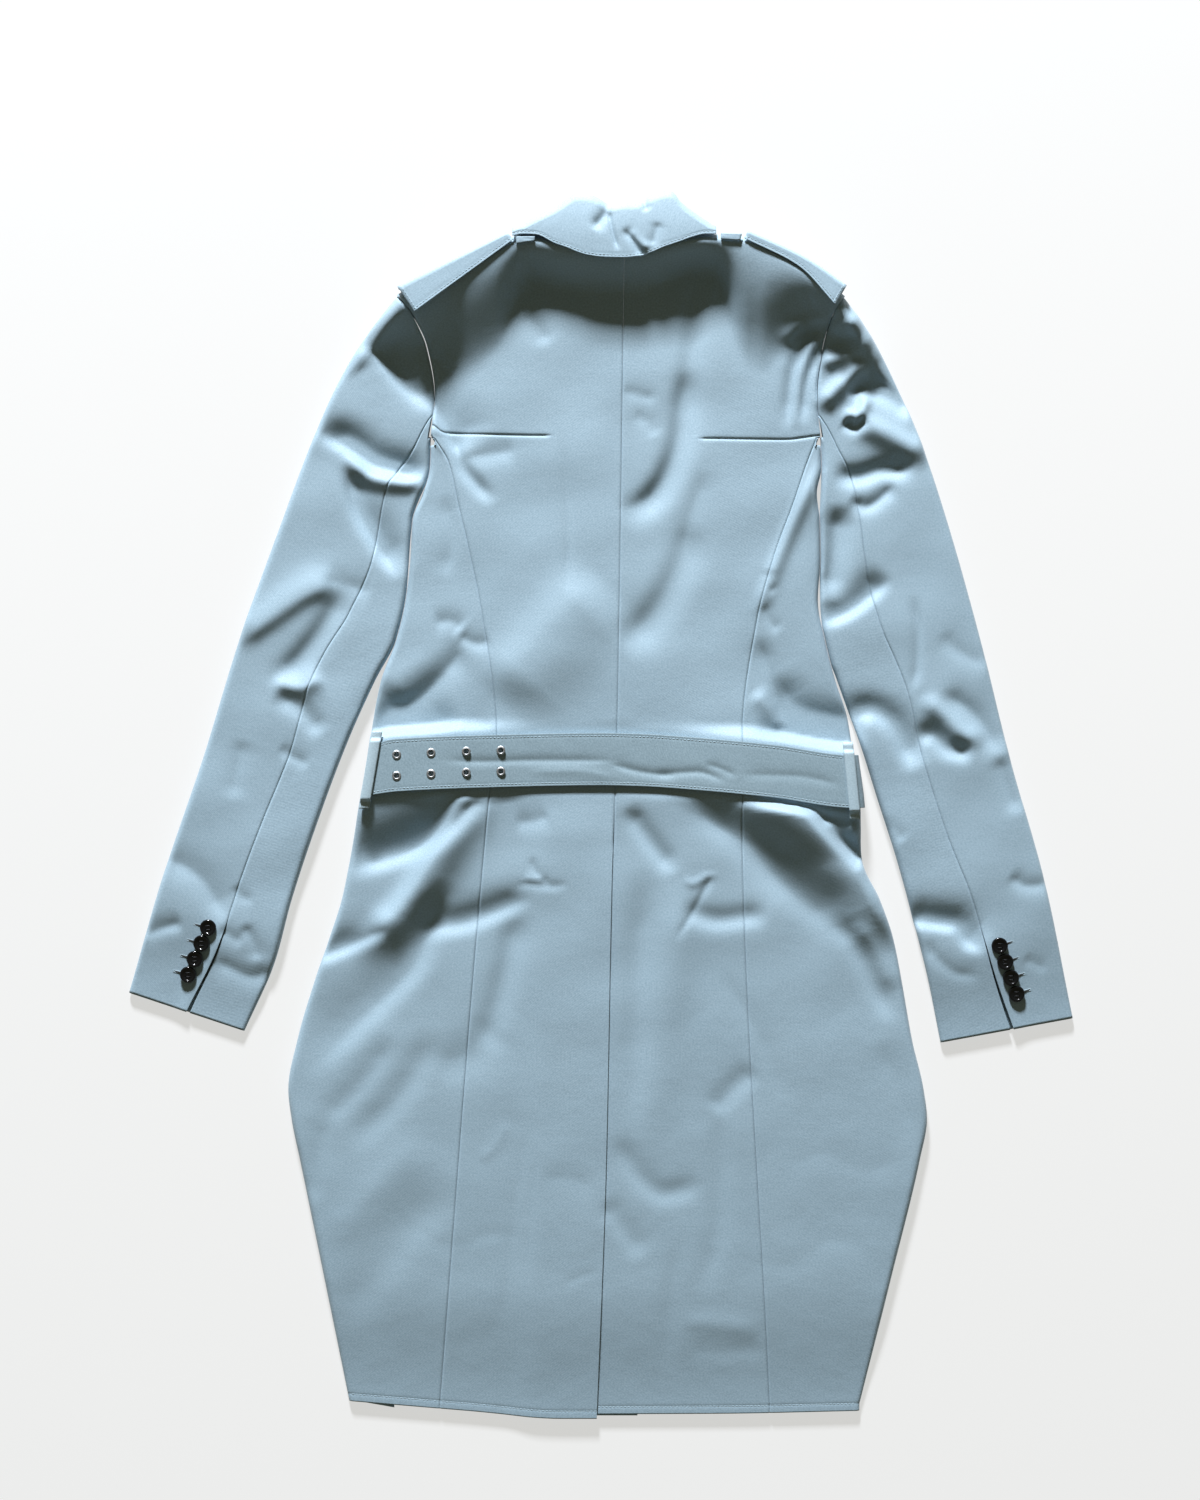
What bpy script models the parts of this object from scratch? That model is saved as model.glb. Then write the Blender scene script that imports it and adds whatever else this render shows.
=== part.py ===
"""Belted trench coat, laid flat on its front with its back up.

The model is in metres: +Z up, +Y towards the neck, +X towards the coat's right side, with the
origin on the surface it lies on, under the middle of the laid coat.
The tables and sizes below are in millimetres, and MM turns them into metres. Their x runs from the
line on which the patterns were drawn, and MIDDLE_X moves the finished coat over its origin.
"""

import bpy
import bmesh
import numpy as np

MM = 0.001
MIDDLE_X = 4.75

# Cloth and the gaps between pieces
WALL = 1.3
COLLAR_WALL = 1.8
STRAP_WALL = 1.8
BELT_WALL = 2.6
LOOP_WALL = 1.4
SEAM_GAP = 0.3
SHOULDER_GAP = 0.7
ARMHOLE_GAP = 1.2
SLEEVE_GAP = 1.2
LAY_GAP = 0.5
SLOPE_GAP = 1.1

# The two sides: the column of a table that holds each, and the way it lies along X
SIDES = {"left": (1, -1.0), "right": (2, 1.0)}

# Levels of the laid cloth above the surface
REST_HEIGHT = 11.0
OPEN_EDGE_HEIGHT = 4.8
LOWEST_BACK = 5.4
SHOULDER_ROUND = 9.0
EDGE_EASE = 110.0

# The laid coat is thicker at its shoulders: how much, and how far below the shoulder line the cloth
# starts and ends its fall: x, start, end
SHOULDER_RISE = 25.0
SHOULDER_FALL = (
    (-205, 8, 50), (-170, 8, 58), (-140, 8, 70), (-110, 8, 92), (-95, 8, 90), (-84, 8, 74), (-74, 8, 58),
    (-62, 8, 44), (-35, 10, 46), (0, 10, 47), (30, 10, 47), (60, 8, 37), (80, 8, 35), (92, 8, 38),
    (104, 8, 64), (113, 8, 96), (121, 8, 112), (131, 8, 114), (146, 8, 96), (161, 8, 74), (176, 8, 56),
    (205, 8, 48),
)

# The belt gathers the waist: x, and how much thicker the cloth lies there
WAIST_RISE = ((-217, 9), (-150, 9), (-60, 0), (45, 0), (140, 10), (217, 10))
# It falls back over a distance above and one below the belt, beyond this margin: x, above, below
WAIST_MARGIN = 1.5
WAIST_FALL = (
    (-217, 12, 56), (-190, 10, 54), (-160, 10, 46), (-132, 14, 30), (-112, 14, 14), (-60, 12, 12),
    (45, 12, 12), (80, 12, 24), (125, 14, 44), (160, 12, 56), (200, 10, 46), (217, 10, 40),
)

# A folded edge turns on this share of the cloth's height, between these two radii
FOLD_ROUND = 0.45
FOLD_RADIUS = (3.5, 11.0)
WAIST_TURN = FOLD_ROUND * (REST_HEIGHT + WAIST_RISE[-1][1])

# Side edges of the laid body: y, left x, right x
SIDE_EDGE = (
    (318, -151, 184), (292, -152, 185), (270, -158, 181), (247, -167, 183.5), (212, -169, 184),
    (178, -173, 182), (144, -181, 188), (109, -194, 197), (75, -201, 208), (40, -206, 213), (0, -213, 218),
    (-46, -221, 220), (-80, -228, 235), (-114, -239, 247), (-149, -251, 254), (-200, -266, 263),
    (-243, -274, 273), (-269, -271, 276), (-303, -264, 270), (-410, -242, 244), (-515, -221, 218),
)

# Armholes, from the shoulder point to the armpit: y, left x, right x
ARMHOLE = ((437, -179, 204), (420, -165, 193), (395, -154, 186), (355, -148, 181), (318, -151, 184))

# Side-back seams, from the armpit to the hem: y, left x, right x
SIDE_BACK_SEAM = (
    (320, -150, 182), (295, -135, 172), (260, -127, 160), (215, -116.5, 143.5), (162, -106, 129.5),
    (62, -94, 116.5), (15, -100, 116.5), (-515, -143.5, 140.5),
)

# Centre-back seam and hem: y, x of the seam; x, y of the hem on either side of the vent
CENTRE_SEAM = ((490, 15.5), (62, 9), (-63, 4.7), (-312, -0.4), (-530, -8.5))
LEFT_HEM = ((-222, -511.5), (-120, -520), (-37, -526.5), (0, -526.5))
RIGHT_HEM = ((-10, -523), (100, -522.5), (220, -520))

# Shoulder and neck edge of the body: x, y
SHOULDER_LINE = (
    (-260, 398), (-180, 438), (-100, 477.5), (-84, 485.5), (-73, 490.5), (-55, 488), (0, 483), (45, 485.5),
    (80, 490), (100, 489.5), (124, 487), (134, 482.5), (163, 467), (204, 437), (270, 390),
)
NECK_HALF_WIDTH = 84.0

# Heights of the rows of cloth below the armpits; those at the belt bound its place underneath
ROWS = (
    300, 276, 250, 224, 197, 170, 142, 114, 88, 70, 46, 22, 8, -5, -19, -38, -60, -82, -106, -132,
    -160, -190, -220, -252, -282, -314, -350, -390, -430, -470, -502,
)
SLEEVE_ROWS = 26

# Underneath: side seams inside the side folds, and the fronts' lap at the middle
SIDE_SEAM_INSET = ((318, 2), (300, 14), (230, 38), (-530, 38))
FRONT_LAP = 35.0
LAP_RAISE = WALL + 0.6
# The raise starts this far outside the lap and is full after the second distance
LAP_APPROACH = (52.0, 26.0)
FRONT_NECK_DROP = 115.0
FRONT_HEM_SHORT = 2.0
NECK_MIDDLE_X = 5.0
NECK_CURVE = 90.0
# Beside the neck the front comes up to meet the back: where that starts, and the run it takes
NECK_MEET = (8.0, 22.0)

# Heights at which the panels' widths at the neck, the shoulder tip and the hem are read
NECK_Y = 480.0
SHOULDER_TIP_Y = 436.0
HEM_Y = -515.0

# The folded edge's rows on a side back start lower than the seam's, and catch up further down
SIDE_BACK_TOP = 315.0
EDGE_DROP = 15.0
EDGE_DROP_RUN = 90.0

# Vent: its top, and the underlap on the right back
VENT_TOP = -38.0
UNDERLAP = 40.0
# The left back rises over the underlap: how far outside it the rise starts, and the run it takes
VENT_RAISE = WALL + 0.45
VENT_SIDE_APPROACH = (12.0, 30.0)
VENT_TOP_APPROACH = (10.0, 34.0)

# Sleeve edges from the shoulder to the cuff, as the laid sleeve shows them: x, y
SLEEVE_OUTER = {
    "left": (
        (-180, 437), (-209, 402), (-230, 367), (-253, 316), (-279, 247), (-316, 144), (-348, 40),
        (-383, -63), (-411.5, -160),
    ),
    "right": (
        (204, 436), (229, 402), (248, 367), (270, 316), (293, 247), (322, 144), (348, 40),
        (377, -63), (402, -182),
    ),
}
SLEEVE_INNER = {
    "left": (
        (-151, 318), (-152, 292), (-167, 247), (-173, 178), (-181, 144), (-199, 109), (-222, 58),
        (-248, -11), (-271, -80), (-285, -132), (-312, -193),
    ),
    "right": (
        (184, 318), (185, 292), (183.5, 247), (184, 178), (188, 140), (198.5, 109), (217, 58),
        (233.5, 6), (250, -46), (264, -97), (277, -149), (288, -203),
    ),
}
SLEEVE_JOINS_BODY_ABOVE = 100.0
# The rows fan out round the armpit: how much slower they start down the inner edge
ARMPIT_FAN = 0.7
# The inner fold starts tight at the armpit: its share of the full radius, and the run to reach it
ARMPIT_ROUND = 0.45
ARMPIT_ROUND_RUN = 0.08
# Share of the sleeve's length over which its rows follow the armhole
ARMHOLE_BLEND = 0.22
# Where the sleeve's seam slants across its rows its gap is widened, and over what share of its length
SLANT_WIDENING = 3.2
SLANT_RUN = 0.28
# Share of its length, from the cuff, over which the sleeve flattens
CUFF_EASE = 0.16

# Sleeve back seam: share of the way down the sleeve, share of its width on the left and the right
SLEEVE_SEAM = (
    (0, 0.16, 0.16), (0.1, 0.21, 0.24), (0.2, 0.28, 0.35), (0.3, 0.29, 0.36), (0.4, 0.36, 0.38),
    (0.5, 0.41, 0.42), (0.6, 0.37, 0.39), (0.7, 0.40, 0.40), (0.8, 0.42, 0.45), (0.9, 0.44, 0.48),
    (1, 0.50, 0.55),
)
UNDER_SEAM_SHARE = 0.28

# Belt: its centre line across the back as x, y, and its run underneath
BELT_WIDTH = 45.0
BELT_LINE = (
    (-206, 31), (-180, 36), (-97, 39.5), (-5, 41.2), (27, 40.5), (77, 37.2), (142, 31), (211, 22),
    (230, 22),
)
BELT_TIP_X = -204.0
BELT_TIP_SLANT = 6.0
BELT_TIP_RUN = 20.0
BELT_COLUMNS = 25
BELT_TURN_GAP = 1.3
BELT_UNDER_Y = 22.0
BELT_UNDER_MIDDLE = 60.0
BELT_UNDER_END = -128.0
BELT_ROOM = 3.6
BELT_ROOM_MARGIN = 3.0
BELT_ROOM_SLOPE = 14.0
# Folds are flat under the belt and reach their height this far beyond its edges, on the body
BELT_MARGIN = 8.0
BELT_PRESS = 12.0

# Collar: x, stitched edge of the fall, roll at the top outline, edge of the leaf underneath
COLLAR = (
    (-80, 485.5, 494.5, 452), (-71, 487, 499, 430), (-60, 486.5, 505, 418), (-44, 479, 513, 424),
    (-32, 474.7, 521, 440), (-26, 472, 524.5, 452), (-15, 468.7, 524, 478), (-4, 467.3, 519, 496),
    (4, 467, 515, 502), (15, 466.8, 517, 504), (27, 468.2, 517.5, 502), (38, 471.3, 523, 496),
    (49, 476, 526.5, 478), (55, 478, 527, 458), (63, 480.8, 518, 440), (73, 484.5, 509.5, 424),
    (84, 487, 502, 418), (93, 487, 496, 446),
)
COLLAR_FOLD = 9.0
COLLAR_FOLD_SHARE = 0.7
COLLAR_LEAF_LEAST = 2.0
# The fall stands level off the back, and droops towards the roll beyond this height
COLLAR_LEVEL = REST_HEIGHT + SHOULDER_RISE + COLLAR_WALL + SLOPE_GAP
COLLAR_DROOP_Y = 480.0
COLLAR_DROOP = 0.003
# Room for its ends under the fronts: height, where it starts along Y and the middle of its width,
# half its width, and the distances over which it rises
COLLAR_ROOM = 2.8
COLLAR_ROOM_START = 396.0
COLLAR_ROOM_MIDDLE = 6.0
COLLAR_ROOM_HALF = 106.0
COLLAR_ROOM_SLOPES = (16.0, 40.0)

# Shoulder straps: share of the way from the armhole, lower edge x and y, outline x and y
STRAPS = {
    "left": ((0, -163, 421, -178.5, 444.5), (1, -79, 482.5, -86.5, 490)),
    "right": ((0, 194, 427, 205, 445.5), (0.45, 163.5, 459.5, 168.5, 470), (1, 117, 483.5, 121.5, 492)),
}
# A strap turns over the shoulder on an ellipse down to this level, and ends halfway round it
STRAP_ROUND = SHOULDER_ROUND + 3.0
STRAP_ROUND_SHARE = 0.75
STRAP_UNDER = -2.0
STRAP_TURN_STEPS = 4
# Keepers: share of the way towards the collar, lower edge x and y, upper edge x and y
KEEPERS = {
    "left": ((0, -76.5, 478.5, -77, 484.6), (1, -61, 481.5, -61, 484.8)),
    "right": ((0, 113.5, 481.5, 115, 487), (1, 97, 482.5, 97, 487.5)),
}
# Places round a keeper's point where the cloth under it is felt for its highest
KEEPER_FEELERS = ((0, 0), (0, -4), (0, -8), (-5, -4), (5, -4))

# Eyelets: the two rows' distance from the belt's centre line, and the columns along it
EYELET_COLUMNS = (-179.3, -149.9, -119.9, -90.5)
EYELET_ROWS = {"upper": 9.0, "lower": -9.0}
EYELET_HOLE = 2.15
EYELET_BARREL = 2.7
EYELET_FLANGE = 3.9
EYELET_LIP = 0.7
EYELET_INNER_BEVEL = 0.3
EYELET_OUTER_BEVEL = 0.6
EYELET_CLEARANCE = 0.3
CUTTER_LENGTH = 8.0

# Belt loops: centre x at the loop's top and bottom, and its ends above and below the belt
LOOPS = {"left": (-196.0, -207.0, 60.0, 4.0), "right": (206.0, 212.5, 51.0, -5.0)}
LOOP_WIDTH = 9.0
LOOP_FOOT = 5.0
LOOP_CLEAR = 2.0
LOOP_FEEL = 2.5

# Buckle, hidden under the fronts
BUCKLE_ROD = 1.5
BUCKLE_LENGTH = 52.0
BUCKLE_WIDTH = 47.0
BUCKLE_CORNER = 5.0
BUCKLE_GAP = 0.4
PRONG_ROD = 1.1
PRONG_OFFSET = 9.0
PRONG_GAP = 0.33

# Cuff buttons: centre of the top one, and the way the row runs down the cuff
BUTTON_DIAMETER = 14.2
BUTTON_SPACING = 14.8
BUTTONS_EACH = 4
BUTTON_ROWS = {"left": ((-342.0, -103.5), (-0.40, -0.916)), "right": ((337.5, -119.0), (0.34, -0.94))}
# Its half section, from the middle of the face down the outer side: share of the radius, height
BUTTON_PROFILE = (
    (0.0, 2.0), (0.54, 2.0), (0.84, 3.0), (0.97, 2.4), (1.0, 1.5), (0.86, 0.0), (0.0, 0.0),
)
BUTTON_HOLE = 0.85
BUTTON_HOLE_OFFSET = 1.7

# The largest folds: height, width on the left and on the right of the fold's run, points x, y
FOLDS = (
    # skirt, left
    (12, 20, 12, ((-98, 34), (-120, 4), (-143, -38), (-168, -80), (-186, -100), (-228, -118))),
    (-7, 9, 24, ((-100, 24), (-132, -14), (-160, -32), (-188, -42), (-228, -53))),
    (-7, 11, 27, ((-132, -62), (-152, -98), (-166, -134), (-196, -166), (-226, -196), (-262, -232))),
    (-6, 14, 6, ((-256, -132), (-220, -118), (-186, -101))),
    (-5, 13, 8, ((-164, -104), (-128, -100), (-98, -90), (-62, -74))),
    (-4.5, 13, 11, ((-76, -84), (-84, -130), (-94, -170), (-106, -212))),
    (-3.5, 9, 11, ((-182, -196), (-208, -234), (-248, -276))),
    (-4.5, 11, 13, ((-146, -192), (-172, -240), (-198, -270), (-224, -292))),
    (-3.5, 16, 14, ((-92, -184), (-118, -214), (-152, -226))),
    (3.5, 20, 15, ((-152, -282), (-192, -324), (-244, -378))),
    (-4.5, 17, 22, ((-122, -328), (-160, -352), (-198, -400), (-232, -452))),
    # skirt, right
    (15, 9, 32, ((140, 50), (162, 0), (188, -31), (203, -46), (222, -62), (236, -80), (250, -126))),
    (-7, 14, 10, ((178, 20), (196, -12), (212, -36), (228, -56))),
    (4, 7, 7, ((186, -8), (206, -20), (226, -18))),
    (-4.5, 22, 15, ((66, 8), (105, -18), (150, -60), (200, -104), (214, -120))),
    (-3.5, 9, 8, ((16, 2), (38, -30), (60, -58))),
    (-3.5, 12, 12, ((32, -52), (27, -170), (24, -288))),
    (3.5, 18, 18, ((66, -50), (50, -200), (32, -310))),
    (-4, 9, 9, ((192, -90), (214, -120), (230, -152), (248, -188))),
    (-3.5, 10, 8, ((62, -86), (96, -97), (124, -94), (142, -98))),
    (-4, 9, 10, ((130, -224), (108, -242), (90, -264))),
    (-3.5, 10, 10, ((98, -248), (98, -300), (97, -346), (92, -384), (74, -424))),
    (-4.5, 10, 9, ((8, -280), (26, -314), (50, -332), (88, -322))),
    (-4, 11, 9, ((-4, -336), (12, -358), (32, -388))),
    (-2.5, 8, 8, ((60, -366), (55, -430), (52, -512))),
    (2.5, 9, 8, ((60, -442), (96, -446), (136, -448))),
    (-3, 9, 8, ((66, -466), (100, -470), (142, -466))),
    # back
    (-3, 11, 9, ((77, 474), (73, 400), (66, 330))),
    (-6, 13, 9, ((70, 380), (62, 315), (50, 282), (34, 262), (6, 250))),
    (-4, 16, 12, ((78, 246), (62, 205), (42, 168), (10, 132))),
    (-3.5, 6, 6, ((-134, 330), (-124, 294), (-110, 276), (-96, 260))),
    (-8, 24, 6, ((-154, 394), (-147, 352), (-133, 320), (-124, 300))),
    (-4, 5, 6, ((194, 414), (172, 402), (160, 370), (155, 322))),
    (-4, 5, 5, ((194, 404), (180, 388), (171, 362), (167, 326))),
    (3, 6, 6, ((148, 396), (164, 412), (194, 420))),
    (-7, 24, 7, ((-220, 60), (-186, 66), (-156, 68), (-122, 78))),
    (3, 16, 18, ((-190, 92), (-160, 118), (-128, 134))),
    (-7, 24, 8, ((126, 66), (165, 62), (195, 58), (226, 52))),
    (3.5, 7, 6, ((188, 304), (160, 242), (126, 158))),
    (6, 45, 26, ((0, 196), (-40, 158), (-98, 92))),
    # left sleeve
    (-7, 24, 9, ((-228, 398), (-192, 392), (-176, 374), (-146, 342))),
    (-8, 15, 7, ((-252, 326), (-222, 312), (-200, 297), (-172, 288), (-148, 280))),
    (-7.5, 17, 7, ((-222, 300), (-215, 262), (-199, 232), (-176, 196))),
    (4.5, 6, 7, ((-226, 304), (-200, 281), (-172, 278), (-150, 287))),
    (5, 16, 9, ((-322, 138), (-286, 164), (-252, 186), (-224, 196))),
    (-4.5, 12, 9, ((-222, 192), (-240, 160), (-262, 130), (-290, 102))),
    (-3, 9, 8, ((-286, 98), (-262, 84), (-244, 60))),
    # right sleeve
    (4, 5, 6, ((188, 408), (208, 411), (232, 404))),
    (5, 6, 7, ((180, 380), (200, 386), (226, 396))),
    (6, 7, 8, ((179, 340), (195, 356), (212, 372), (228, 388))),
    (-8, 13, 10, ((204, 352), (226, 360), (248, 352), (268, 336))),
    (5, 5, 5, ((216, 362), (222, 348), (214, 335), (200, 338))),
    (6, 10, 10, ((204, 334), (238, 320), (280, 298))),
    (-6, 9, 8, ((192, 284), (214, 284), (236, 290), (268, 292))),
    (-6, 12, 9, ((200, 262), (197, 222), (190, 176))),
    (-6, 15, 6, ((180, 158), (206, 168), (230, 186), (244, 200))),
    (-7, 13, 8, ((204, 74), (226, 83), (244, 74), (258, 50), (266, 30))),
    (-5, 10, 7, ((262, 60), (278, 62), (294, 50), (318, 45))),
    (4, 8, 8, ((268, 96), (288, 80), (306, 62), (326, 54))),
    (-7, 15, 5, ((250, -94), (280, -99), (300, -102), (311, -116), (328, -124))),
)

GABARDINE = ("gabardine", "A9C1CB", 0.62, 0.0)
BELT_CLOTH = ("belt_gabardine", "9FB6C0", 0.62, 0.0)
LOOP_CLOTH = ("loop_gabardine", "B4C9D1", 0.62, 0.0)
BUTTON_RESIN = ("button_resin", "0D0E11", 0.18, 0.0)
EYELET_METAL = ("eyelet_nickel", "B9BBBC", 0.25, 1.0)
BUCKLE_METAL = ("buckle_nickel", "A9ABAC", 0.3, 1.0)


# Small tools

def ease(share):
    """Smooth step from 0 to 1."""
    share = np.clip(share, 0.0, 1.0)
    return share * share * (3.0 - 2.0 * share)


def curve(table, column=1):
    """Smooth curve through a table's rows, with no overshoot between them."""
    rows = np.array(sorted((row[0], row[column]) for row in table), dtype=float)
    place, value = rows[:, 0], rows[:, 1]
    gap = np.diff(place)
    slope = np.diff(value) / gap
    product = slope[:-1] * slope[1:]
    total = slope[:-1] + slope[1:]
    safe = np.where(np.abs(total) < 1e-9, 1.0, total)
    tangent = np.concatenate([slope[:1], np.where(product > 0, 2.0 * product / safe, 0.0), slope[-1:]])

    def at(query):
        query = np.clip(query, place[0], place[-1])
        span = np.clip(np.searchsorted(place, query) - 1, 0, len(gap) - 1)
        t = (query - place[span]) / gap[span]
        start = value[span] * (1 + 2 * t) + gap[span] * tangent[span] * t
        end = value[span + 1] * (3 - 2 * t) + gap[span] * tangent[span + 1] * (t - 1)
        return start * (1 - t) ** 2 + end * t * t

    return at


def path_curve(points):
    """Smooth plan curve through points, by its share of the length."""
    points = np.array(points, dtype=float)
    length = np.concatenate([[0.0], np.cumsum(np.linalg.norm(np.diff(points, axis=0), axis=1))])
    share = length / length[-1]
    x_at = curve(np.column_stack([share, points[:, 0]]))
    y_at = curve(np.column_stack([share, points[:, 1]]))
    return lambda query: np.stack([x_at(query), y_at(query)], axis=-1)


def by_side(table):
    """One curve for each side, from a table of place, left value, right value."""
    return {side: curve(table, column) for side, (column, _) in SIDES.items()}


edge_x = by_side(SIDE_EDGE)
armhole_x = by_side(ARMHOLE)
side_back_x = by_side(SIDE_BACK_SEAM)
sleeve_seam_share = by_side(SLEEVE_SEAM)
centre_x = curve(CENTRE_SEAM)
shoulder_y = curve(SHOULDER_LINE)
hem_y = {"left": curve(LEFT_HEM), "right": curve(RIGHT_HEM)}
shoulder_start, shoulder_end = curve(SHOULDER_FALL, 1), curve(SHOULDER_FALL, 2)
waist_height = curve(WAIST_RISE)
waist_above, waist_below = curve(WAIST_FALL, 1), curve(WAIST_FALL, 2)
inset = curve(SIDE_SEAM_INSET)
belt_y = curve(BELT_LINE)
ARMPIT_Y = ARMHOLE[-1][0]


# Height of the cloth

def fold_share(x, y, path):
    """Signed distance from a fold's run, and how far along it the nearest point lies."""
    path = np.array(path, dtype=float)
    steps = np.diff(path, axis=0)
    lengths = np.linalg.norm(steps, axis=1)
    best = np.full(np.shape(x), 1e9)
    signed = np.zeros(np.shape(x))
    along = np.zeros(np.shape(x))
    done = 0.0
    for start, step, length in zip(path[:-1], steps, lengths):
        ahead = ((x - start[0]) * step[0] + (y - start[1]) * step[1]) / length ** 2
        near = np.clip(ahead, 0.0, 1.0)
        across_x = x - start[0] - near * step[0]
        across_y = y - start[1] - near * step[1]
        distance = np.hypot(across_x, across_y)
        closer = distance < best
        side = np.sign(step[0] * across_y - step[1] * across_x)
        best = np.where(closer, distance, best)
        signed = np.where(closer, side * distance, signed)
        along = np.where(closer, (done + near * length) / lengths.sum(), along)
        done += length
    return signed, along


def fold_relief(x, y, folds=FOLDS):
    """Ridges and troughs at points of the cloth, each fading at both its ends."""
    total = np.zeros(np.shape(x))
    for height, left_width, right_width, path in folds:
        distance, along = fold_share(x, y, path)
        width = np.where(distance > 0, left_width, right_width)
        fade = ease(along / 0.25) * ease((1.0 - along) / 0.25)
        total = total + height * np.exp(-(distance / width) ** 2) * fade
    return total


def shoulder_rise(x, y):
    """The laid coat is thick at the shoulders and neck, and falls away down the back."""
    start, end = shoulder_start(x), shoulder_end(x)
    return SHOULDER_RISE * (1.0 - ease((shoulder_y(x) - y - start) / (end - start)))


def waist_rise(x, y):
    """The cloth that the belt gathers, on the body alone."""
    past = y - belt_y(x)
    fall = np.where(past > 0, waist_above(x), waist_below(x))
    return waist_height(x) * (1.0 - ease((np.abs(past) - 0.5 * BELT_WIDTH - WAIST_MARGIN) / fall))


def lift(x, y, spread=1.0, belted=True):
    """Height of the upper layer's outer face. Spread fades to 0 at a hem or a cuff."""
    rest = OPEN_EDGE_HEIGHT + (REST_HEIGHT - OPEN_EDGE_HEIGHT) * spread + shoulder_rise(x, y)
    folds = fold_relief(x, y) * spread
    if belted:
        beyond_belt = np.abs(y - belt_y(x)) - 0.5 * BELT_WIDTH - BELT_MARGIN
        rest = rest + waist_rise(x, y)
        folds = folds * ease(beyond_belt / BELT_PRESS)
    free = rest + folds
    lowest = OPEN_EDGE_HEIGHT + (LOWEST_BACK - OPEN_EDGE_HEIGHT) * spread
    above = free - lowest
    return lowest + 0.5 * (above + np.sqrt(above ** 2 + 1.0)) - 0.1


def body_lift(side):
    """Height of the upper layer of one side of the body, flat towards its hem."""
    def height(x, y):
        return lift(x, y, ease((y - hem_y[side](x)) / EDGE_EASE))
    return height


def floor_height(x, y):
    """Height of the lower layer's outer face: it rises over the belt and the collar's ends."""
    beyond_belt = np.abs(y - BELT_UNDER_Y) - 0.5 * BELT_WIDTH - BELT_ROOM_MARGIN
    belt_share = 1.0 - ease(beyond_belt / BELT_ROOM_SLOPE)
    along_slope, side_slope = COLLAR_ROOM_SLOPES
    beyond_collar = np.abs(x - COLLAR_ROOM_MIDDLE) - COLLAR_ROOM_HALF
    collar_share = ease((y - COLLAR_ROOM_START) / along_slope) * (1.0 - ease(beyond_collar / side_slope))
    return np.maximum(BELT_ROOM * belt_share, COLLAR_ROOM * collar_share)


def left_raise(x, y):
    """The left back lies over the vent's underlap."""
    side_start, side_run = VENT_SIDE_APPROACH
    top_start, top_run = VENT_TOP_APPROACH
    near_seam = 1.0 - ease((centre_x(y) - x - UNDERLAP - side_start) / side_run)
    return VENT_RAISE * near_seam * (1.0 - ease((y - VENT_TOP - top_start) / top_run))


def front_left_floor(x, y):
    """The left front lies over the right one where they lap."""
    start, distance = LAP_APPROACH
    return floor_height(x, y) + LAP_RAISE * ease((x - centre_x(y) + FRONT_LAP + start) / distance)


# Runs of points that make up the sheets

def flat_run(plan, shares, height):
    """Points at shares of each row's width, on a height field."""
    points = plan(shares)
    return np.dstack([points, height(points[..., 0], points[..., 1])])


def fold_run(edge, inward, radius, top, bottom, steps=4):
    """Points round a folded edge, from the upper layer to the lower one."""
    angles = np.radians(np.linspace(90.0, -90.0, steps + 1))[None, :]
    reach = radius[:, None] * (1.0 - np.cos(angles))
    plan = edge[:, None, :] + inward[:, None, :] * reach[..., None]
    middle = 0.5 * (top + bottom)[:, None]
    half = 0.5 * (top - bottom)[:, None]
    return np.dstack([plan, middle + half * np.sin(angles)])


def unit(vectors):
    """Plan vectors at length 1."""
    return vectors / np.linalg.norm(vectors, axis=-1, keepdims=True)


def between(start, end):
    """Plan function of straight rows from one line of points to another."""
    def plan(shares):
        shares = np.broadcast_to(shares, (len(start), np.shape(shares)[-1]))[..., None]
        return start[:, None, :] * (1.0 - shares) + end[:, None, :] * shares
    return plan


def folded_sheet(plan, first_share, under_plan, last_share, height, under_height, counts, rounding=1.0):
    """Upper layer from a seam to a folded edge, round it, and back underneath to another seam."""
    top_count, under_count = counts
    edge = plan(np.array([1.0]))[:, 0]
    along_row = unit(plan(np.array([0.94]))[:, 0] - edge)
    tangent = unit(np.gradient(edge, axis=0))
    square = np.column_stack([-tangent[:, 1], tangent[:, 0]])
    square = square * np.sign(np.sum(square[-1] * along_row[-1]))
    facing = np.clip(np.sum(square * along_row, axis=1) * 1.6 - 0.4, 0.0, 1.0)[:, None]
    inward = unit(along_row * facing + square * (1.0 - facing))
    level = height(edge[:, 0], edge[:, 1])
    radius = np.clip(FOLD_ROUND * level, *FOLD_RADIUS) * rounding
    turn = edge + inward * radius[:, None]
    upper = run_to(plan, first_share, turn, edge, np.linspace(0.0, 1.0, top_count), height)
    bottom = under_height(turn[:, 0], turn[:, 1])
    folded = fold_run(edge, inward, radius, upper[:, -1, 2], bottom)
    under = run_to(under_plan, last_share, turn, edge, np.linspace(0.0, 1.0, under_count), under_height)
    return np.concatenate([upper, folded[:, 1:-1], under[:, ::-1]], axis=1)


def run_to(plan, seam_share, turn, edge, steps, height):
    """Points from a seam to the line where a folded edge begins to turn."""
    seam = plan(seam_share[:, None])[:, 0]
    reach = np.linalg.norm(turn - edge, axis=1) / np.linalg.norm(seam - edge, axis=1)
    last_share = seam_share + (edge_share(plan, edge) - seam_share) * (1.0 - reach)
    shares = seam_share[:, None] * (1.0 - steps) + last_share[:, None] * steps
    points = plan(shares)
    points = points + (turn - points[:, -1])[:, None, :] * steps[None, :, None]
    return np.dstack([points, height(points[..., 0], points[..., 1])])


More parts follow.
